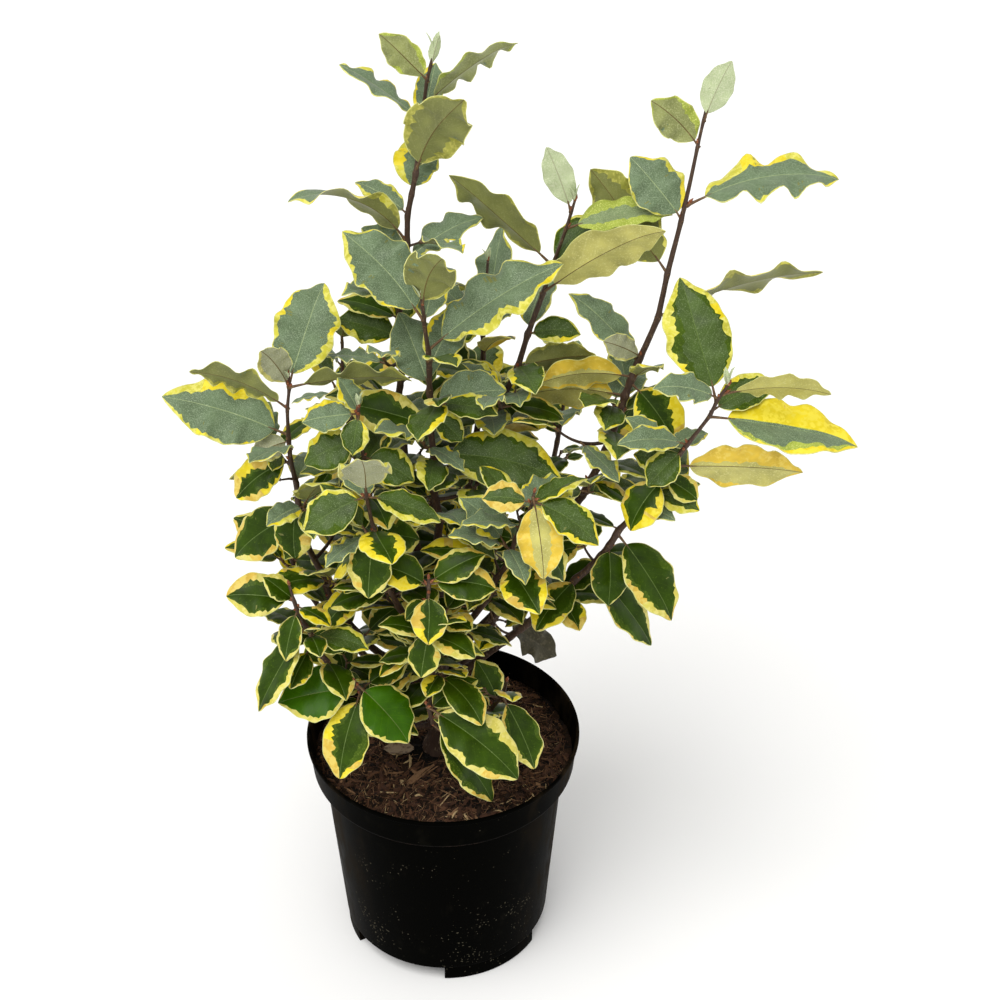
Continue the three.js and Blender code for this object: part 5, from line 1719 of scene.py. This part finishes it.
def dress_pot():
    """The turned pot with its band, rounded lip and low feet."""
    band_foot = POT_HEIGHT - RIM_BAND
    band_radius = RIM_RADIUS - RIM_TAPER
    profile = [
        (0, 0), (BASE_RADIUS, 0), (BASE_RADIUS + 1.5, FOOT_HEIGHT),
        (WALL_FOOT_RADIUS, FOOT_HEIGHT + 1), (WALL_TOP_RADIUS, band_foot - 2),
        (band_radius - 0.6, band_foot), (band_radius + 0.2, band_foot + 1.6),
        (RIM_RADIUS - 1.2, POT_HEIGHT - 3.4), (RIM_RADIUS, POT_HEIGHT - 2.6),
        (RIM_RADIUS, POT_HEIGHT), (RIM_RADIUS - WALL - 0.4, POT_HEIGHT),
        (RIM_RADIUS - WALL - 0.8, POT_HEIGHT - 2.4), (band_radius - WALL, band_foot + 2),
        (WALL_TOP_RADIUS - WALL, band_foot), (WALL_FOOT_RADIUS - WALL, FOOT_HEIGHT + 3.5),
        (BASE_RADIUS - 1, FOOT_HEIGHT + 2.2), (BASE_RADIUS - 3, BASE_THICKNESS), (0, BASE_THICKNESS),
    ]
    radii = [0, 1, 1, 3, 1, 0.8, 0.6, 0.6, 0.5, 0.8, 0.8, 0.8, 1, 1, 2, 1, 1, 0]
    heap = Heap()
    lathed(heap, rounded(profile, radii), POT_SIDES, 0)
    for f in range(FOOT_COUNT):
        pot_foot(heap, 180 + f * 360 / FOOT_COUNT)
    piece = heap.make("pot_shell", [pot_material()], "pot", "pot")
    piece.data.set_sharp_from_angle(angle=math.radians(40))


def field(rng, x, y, cell, size=240):
    """Smooth chance heights over the ground, from -1 to 1, one knot every cell."""
    count = int(size / cell) + 3
    knots = rng.uniform(-1, 1, (count, count))
    gx = (x + size / 2) / cell
    gy = (y + size / 2) / cell
    i = np.clip(gx.astype(int), 0, count - 2)
    j = np.clip(gy.astype(int), 0, count - 2)
    fx = eased(gx - i)
    fy = eased(gy - j)
    low = knots[i, j] * (1 - fx) + knots[i + 1, j] * fx
    high = knots[i, j + 1] * (1 - fx) + knots[i + 1, j + 1] * fx
    return low * (1 - fy) + high * fy


# The soil's clods, each with its cell and height, and its hollow and the patch of painted shade at the
# trunk's foot, each with its middle and its reach
SOIL_CELLS = ((26, 1.6), (9, 1.5), (3.6, 1.0), (1.9, 0.5))
HOLLOW = ((14, -36), (15, 13))
HOLLOW_DEPTH = 5.0
TRUNK_FOOT_SHADE = ((-12, -4), (15, 15))
TRUNK_FOOT_SHADE_FROM = 0.4


def near(spot, x, y):
    """1 at the middle of a spot, falling off softly over its reach."""
    (middle_x, middle_y), (reach_x, reach_y) = spot
    return np.exp(-(((x - middle_x) / reach_x) ** 2 + ((y - middle_y) / reach_y) ** 2))


def soil_height(x, y):
    """The rough top of the soil: clods, and a hollow beside the trunk."""
    rng = np.random.default_rng(5)
    level = np.interp(np.hypot(x, y), [0, SOIL_FLAT_RADIUS, 70, 92], [
        SOIL_LEVEL, SOIL_LEVEL, SOIL_LEVEL - 1.5, SOIL_LEVEL - SOIL_EDGE_DROP])
    for cell, size in SOIL_CELLS:
        level = level + size * field(rng, x, y, cell)
    return level - HOLLOW_DEPTH * near(HOLLOW, x, y) + 0.3


# The soil's and its litter's paints and their places in the slots
SOIL_SLOTS = [
    mottled_paint("damp compost", (46, 31, 21), (20, 14, 10), 150, 0.45, 0.6, 0.95, 0.8, 0.2),
    mottled_paint("brown fibre", (90, 62, 44), (56, 38, 27), 300, 0.5, 0.7, 0.9, 0.4, 0.2),
    mottled_paint("tan fibre", (134, 102, 74), (96, 70, 48), 300, 0.5, 0.7, 0.85, 0.4, 0.2),
    mottled_paint("bark chip", (70, 45, 31), (38, 25, 18), 260, 0.5, 0.7, 0.85, 0.6, 0.25),
    mottled_paint("pale straw", (190, 164, 122), (150, 120, 84), 300, 0.5, 0.7, 0.8, 0.3, 0.25),
    mottled_paint("dried leaf", (150, 130, 108), (104, 86, 70), 260, 0.45, 0.65, 0.8, 0.4, 0.25),
]
COMPOST, BROWN, TAN, CHIP, PALE, DRIED = range(6)
# Compost painted darker as the shade that falls at the trunk's foot
SHADE_PAINTED_COMPOST = mottled_paint("dark compost", (20, 14, 10), (8, 6, 4), 150, 0.45, 0.6, 0.95, 0.8, 0.2)

SOIL_SIDES = 210
SOIL_RINGS = 76
SOIL_UNDER = SOIL_LEVEL - 9


def dress_soil():
    """The soil's body with its rough top, and painted shade at the trunk's foot."""
    heap = Heap()
    edge = RIM_RADIUS - RIM_TAPER - WALL + 0.6
    radii = np.concatenate([np.linspace(1.2, edge, SOIL_RINGS), [edge - 0.2, edge - 0.4]])
    turns = round_turns(SOIL_SIDES)
    x = np.outer(radii, np.cos(turns))
    y = np.outer(radii, np.sin(turns))
    z = soil_height(x, y)
    z[-2] = z[-3] - 2
    z[-1] = SOIL_UNDER
    middle = float(soil_height(np.zeros(1), np.zeros(1))[0])
    points = np.concatenate([
        np.stack([x, y, z], -1).reshape(-1, 3), [[0, 0, middle], [0, 0, SOIL_UNDER]],
    ])
    middles = points[grid_faces(len(radii), SOIL_SIDES, True)].mean(1)
    # The faces near the trunk's foot take the compost with painted shade
    dark = near(TRUNK_FOOT_SHADE, middles[:, 0], middles[:, 1]) > TRUNK_FOOT_SHADE_FROM
    heap.add_round(points, len(radii), SOIL_SIDES, dark.astype(int), inward=True)
    heap.make("compost", [SOIL_SLOTS[COMPOST], SHADE_PAINTED_COMPOST], "soil", "soil")


# How far out a fibre may reach, and how far out the litter lies
LITTER_EDGE = 89
LITTER_REACH = 88


def strand(heap, rng, start, heading, length, width, thick, lift, paint_index):
    """A fibre or sliver that lies on the soil, bent a little."""
    steps = 5
    s = np.linspace(0, 1, steps)
    turn = heading + rng.uniform(-0.9, 0.9) * (s - 0.5)
    moves = np.stack([np.cos(turn), np.sin(turn)], 1) * length / (steps - 1)
    xy = start + np.concatenate([[[0, 0]], np.cumsum(moves[1:], 0)]) - moves.sum(0) / 2
    if np.hypot(xy[:, 0], xy[:, 1]).max() > LITTER_EDGE:
        return
    z = soil_height(xy[:, 0], xy[:, 1])
    z = z.mean() * 0.45 + z * 0.55 + thick / 2 + lift * (s - 0.5) + 0.2
    centre = np.stack([xy[:, 0], xy[:, 1], z], 1)
    across = np.stack([-np.sin(turn), np.cos(turn), 0 * s], 1)
    taper = np.interp(s, [0, 0.15, 0.85, 1], [0.35, 1, 1, 0.35])[:, None]
    tilt = rng.uniform(-0.4, 0.4)
    across = across * math.cos(tilt) + np.array([0, 0, 1.0]) * math.sin(tilt)
    over = np.cross(np.stack([np.cos(turn), np.sin(turn), 0 * s], 1), across)
    rows = np.stack([
        centre + across * width / 2 * taper, centre + over * thick / 2,
        centre - across * width / 2 * taper, centre - over * thick / 2,
    ], 1)
    heap.add_prism(rows.reshape(-1, 3), steps, 4, paint_index, ends_turned=True)


def crumb(heap, rng, centre, size, paint_index):
    """An uneven lump of bark or compost."""
    sides = 6
    turns = round_turns(sides) + rng.random()
    lift = np.array([-0.8, -0.3, 0.35, 0.85])
    ring = np.sqrt(1 - lift**2)
    shape = rng.uniform(0.6, 1.15, (len(lift), sides))
    stretch = rng.uniform(0.6, 1.5, 2)
    points = np.stack([
        np.outer(ring, np.cos(turns)) * shape * stretch[0],
        np.outer(ring, np.sin(turns)) * shape * stretch[1],
        np.outer(lift, np.ones(sides)) * 0.75,
    ], -1).reshape(-1, 3) * size / 2
    turn = rng.uniform(0, 2 * math.pi)
    c, n = math.cos(turn), math.sin(turn)
    points = points @ np.array([[c, n, 0], [-n, c, 0], [0, 0, 1]]) + centre
    heap.add_prism(points, len(lift), sides, paint_index)


def scrap(heap, rng, centre, length, width):
    """A dried curl of old leaf that lies on the soil."""
    rows = 9
    columns = 7
    s = np.linspace(-1, 1, rows)[:, None] + np.zeros((1, columns))
    w = np.linspace(-1, 1, columns)[None] * np.sqrt(np.maximum(1.02 - s**2, 0.02))
    ragged = rng.uniform(0.82, 1.1, (rows, columns))
    x = centre[0] + s * length / 2 * ragged
    y = centre[1] + w * width / 2 * ragged
    z = soil_height(x, y).max() + 0.6 + 1.8 * s**2 + 2.4 * w**2 - 1.2 * w
    upper = np.stack([x, y, z], -1).reshape(-1, 3)
    points = np.concatenate([upper, upper - [0, 0, 0.3]])
    faces = grid_faces(rows, columns)
    under = faces[:, ::-1] + rows * columns
    every = np.concatenate([faces, under, rim_faces(rows, columns)])
    heap.add(points, every, DRIED)


def scatter_place(rng):
    """A place on the soil, seldom on the painted shade at the trunk's foot."""
    while True:
        out = LITTER_REACH * math.sqrt(rng.random())
        turn = rng.uniform(0, 2 * math.pi)
        spot = np.array([out * math.cos(turn), out * math.sin(turn)])
        if rng.random() > 1.3 * near(TRUNK_FOOT_SHADE, *spot):
            return spot


FIBRES = 2500
FIBRE_THICK = 0.25
CRUMBS = 1900
SCRAP_PLACE = (-31, -6)
SCRAP_SIZE = (20, 17)
BUNDLE_PLACE = (-15, -26)
BUNDLE_HEADING = 0.85
BUNDLE_COUNT = 7

# Slivers and chips: how many, the ranges of length, width and thickness, how far an end may lift,
# and the paints with how often each is taken
PIECES_OF_BARK = [
    (620, (4, 14), (0.9, 2.6), (0.5, 1.0), 1.5, (CHIP, CHIP, BROWN, TAN, PALE),
     (0.35, 0.2, 0.25, 0.12, 0.08)),
    (130, (6, 13), (2.2, 4.4), (0.9, 1.8), 2.5, (CHIP, BROWN, COMPOST), (0.6, 0.25, 0.15)),
]


def dress_litter():
    """Coir fibres, bark slivers and crumbs on the soil."""
    rng = np.random.default_rng(21)
    heap = Heap()
    for _ in range(FIBRES):
        shade = rng.choice([BROWN, BROWN, TAN, TAN, COMPOST, PALE], p=[0.3, 0.2, 0.2, 0.1, 0.14, 0.06])
        strand(heap, rng, scatter_place(rng), rng.uniform(0, 6.3), rng.uniform(4, 17),
               rng.uniform(0.25, 0.6), FIBRE_THICK, rng.uniform(-2.5, 2.5), int(shade))
    for count, length, width, thick, lift, paints, shares in PIECES_OF_BARK:
        for _ in range(count):
            strand(heap, rng, scatter_place(rng), rng.uniform(0, 6.3), rng.uniform(*length),
                   rng.uniform(*width), rng.uniform(*thick), rng.uniform(-lift, lift),
                   int(rng.choice(paints, p=shares)))
    for k in range(BUNDLE_COUNT):
        spot = np.array(BUNDLE_PLACE) + rng.uniform(-5, 5, 2)
        strand(heap, rng, spot, BUNDLE_HEADING + rng.uniform(-0.15, 0.15), rng.uniform(20, 32),
               rng.uniform(1.6, 2.6), 0.9, rng.uniform(2, 6), (TAN, BROWN, TAN)[k % 3])
    scrap(heap, rng, SCRAP_PLACE, *SCRAP_SIZE)
    for _ in range(CRUMBS):
        spot = scatter_place(rng)
        size = rng.uniform(1.0, 3.4)
        height = float(soil_height(spot[:1], spot[1:])[0])
        crumb(heap, rng, np.array([*spot, height + size * 0.1]), size,
              int(rng.choice([COMPOST, COMPOST, CHIP, BROWN])))
    heap.make("soil_litter", SOIL_SLOTS, "soil", smooth=False)


# Daylight, the floor and the camera, which looks down on the plant as in the photo
SKY_COLOUR = (1.0, 0.995, 0.985, 1)
SKY_STRENGTH = 0.74
SUN_COLOUR = (1.0, 0.99, 0.965)
SUN_STRENGTH = 1.9
SUN_BREADTH = 0.8
SUN_PLACE = (-0.5, -0.75, 1.6)
FLOOR_COLOUR = (0.93, 0.93, 0.93, 1)
FLOOR_REACH = 60.0
CAMERA_PLACE = (0.0396, -1.0559, 1.1006)
CAMERA_DOWN = 34.76
CAMERA_LENS = 72
CAMERA_SENSOR = 36


def linked(name, data):
    holder = bpy.data.objects.new(name, data)
    bpy.context.scene.collection.objects.link(holder)
    return holder


def set_stage():
    """A pale floor, soft daylight from above and the camera."""
    scene = bpy.context.scene
    world = bpy.data.worlds.new("soft daylight")
    scene.world = world
    world.use_nodes = True
    sky = world.node_tree.nodes["Background"]
    sky.inputs["Color"].default_value = SKY_COLOUR
    sky.inputs["Strength"].default_value = SKY_STRENGTH
    lamp = bpy.data.lights.new("key", "SUN")
    lamp.energy = SUN_STRENGTH
    lamp.color = SUN_COLOUR
    lamp.angle = SUN_BREADTH
    sun = linked("key", lamp)
    sun.location = SUN_PLACE
    sun.rotation_mode = "QUATERNION"
    sun.rotation_quaternion = (-Vector(SUN_PLACE)).to_track_quat("-Z", "Y")
    made, _, shader = new_material("pale floor")
    shader.inputs["Base Color"].default_value = FLOOR_COLOUR
    shader.inputs["Roughness"].default_value = 0.9
    shader.inputs["Specular IOR Level"].default_value = 0.1
    mesh = bpy.data.meshes.new("floor")
    corners = [(-1, -1), (1, -1), (1, 1), (-1, 1)]
    mesh.from_pydata([(FLOOR_REACH * x, FLOOR_REACH * y, 0) for x, y in corners], [], [(0, 1, 2, 3)])
    mesh.materials.append(made)
    linked("floor", mesh)
    camera = bpy.data.cameras.new("camera")
    camera.sensor_width = CAMERA_SENSOR
    camera.lens = CAMERA_LENS
    camera.clip_end = FLOOR_REACH
    eye = linked("camera", camera)
    eye.location = CAMERA_PLACE
    eye.rotation_euler = (math.radians(90 - CAMERA_DOWN), 0, 0)
    scene.camera = eye
    scene.view_settings.view_transform = "Standard"


grow()
dress_bark()
for each in SHOOTS:
    dress_mass(each)
dress_pot()
dress_soil()
dress_litter()
set_stage()

bpy.context.view_layer.update()
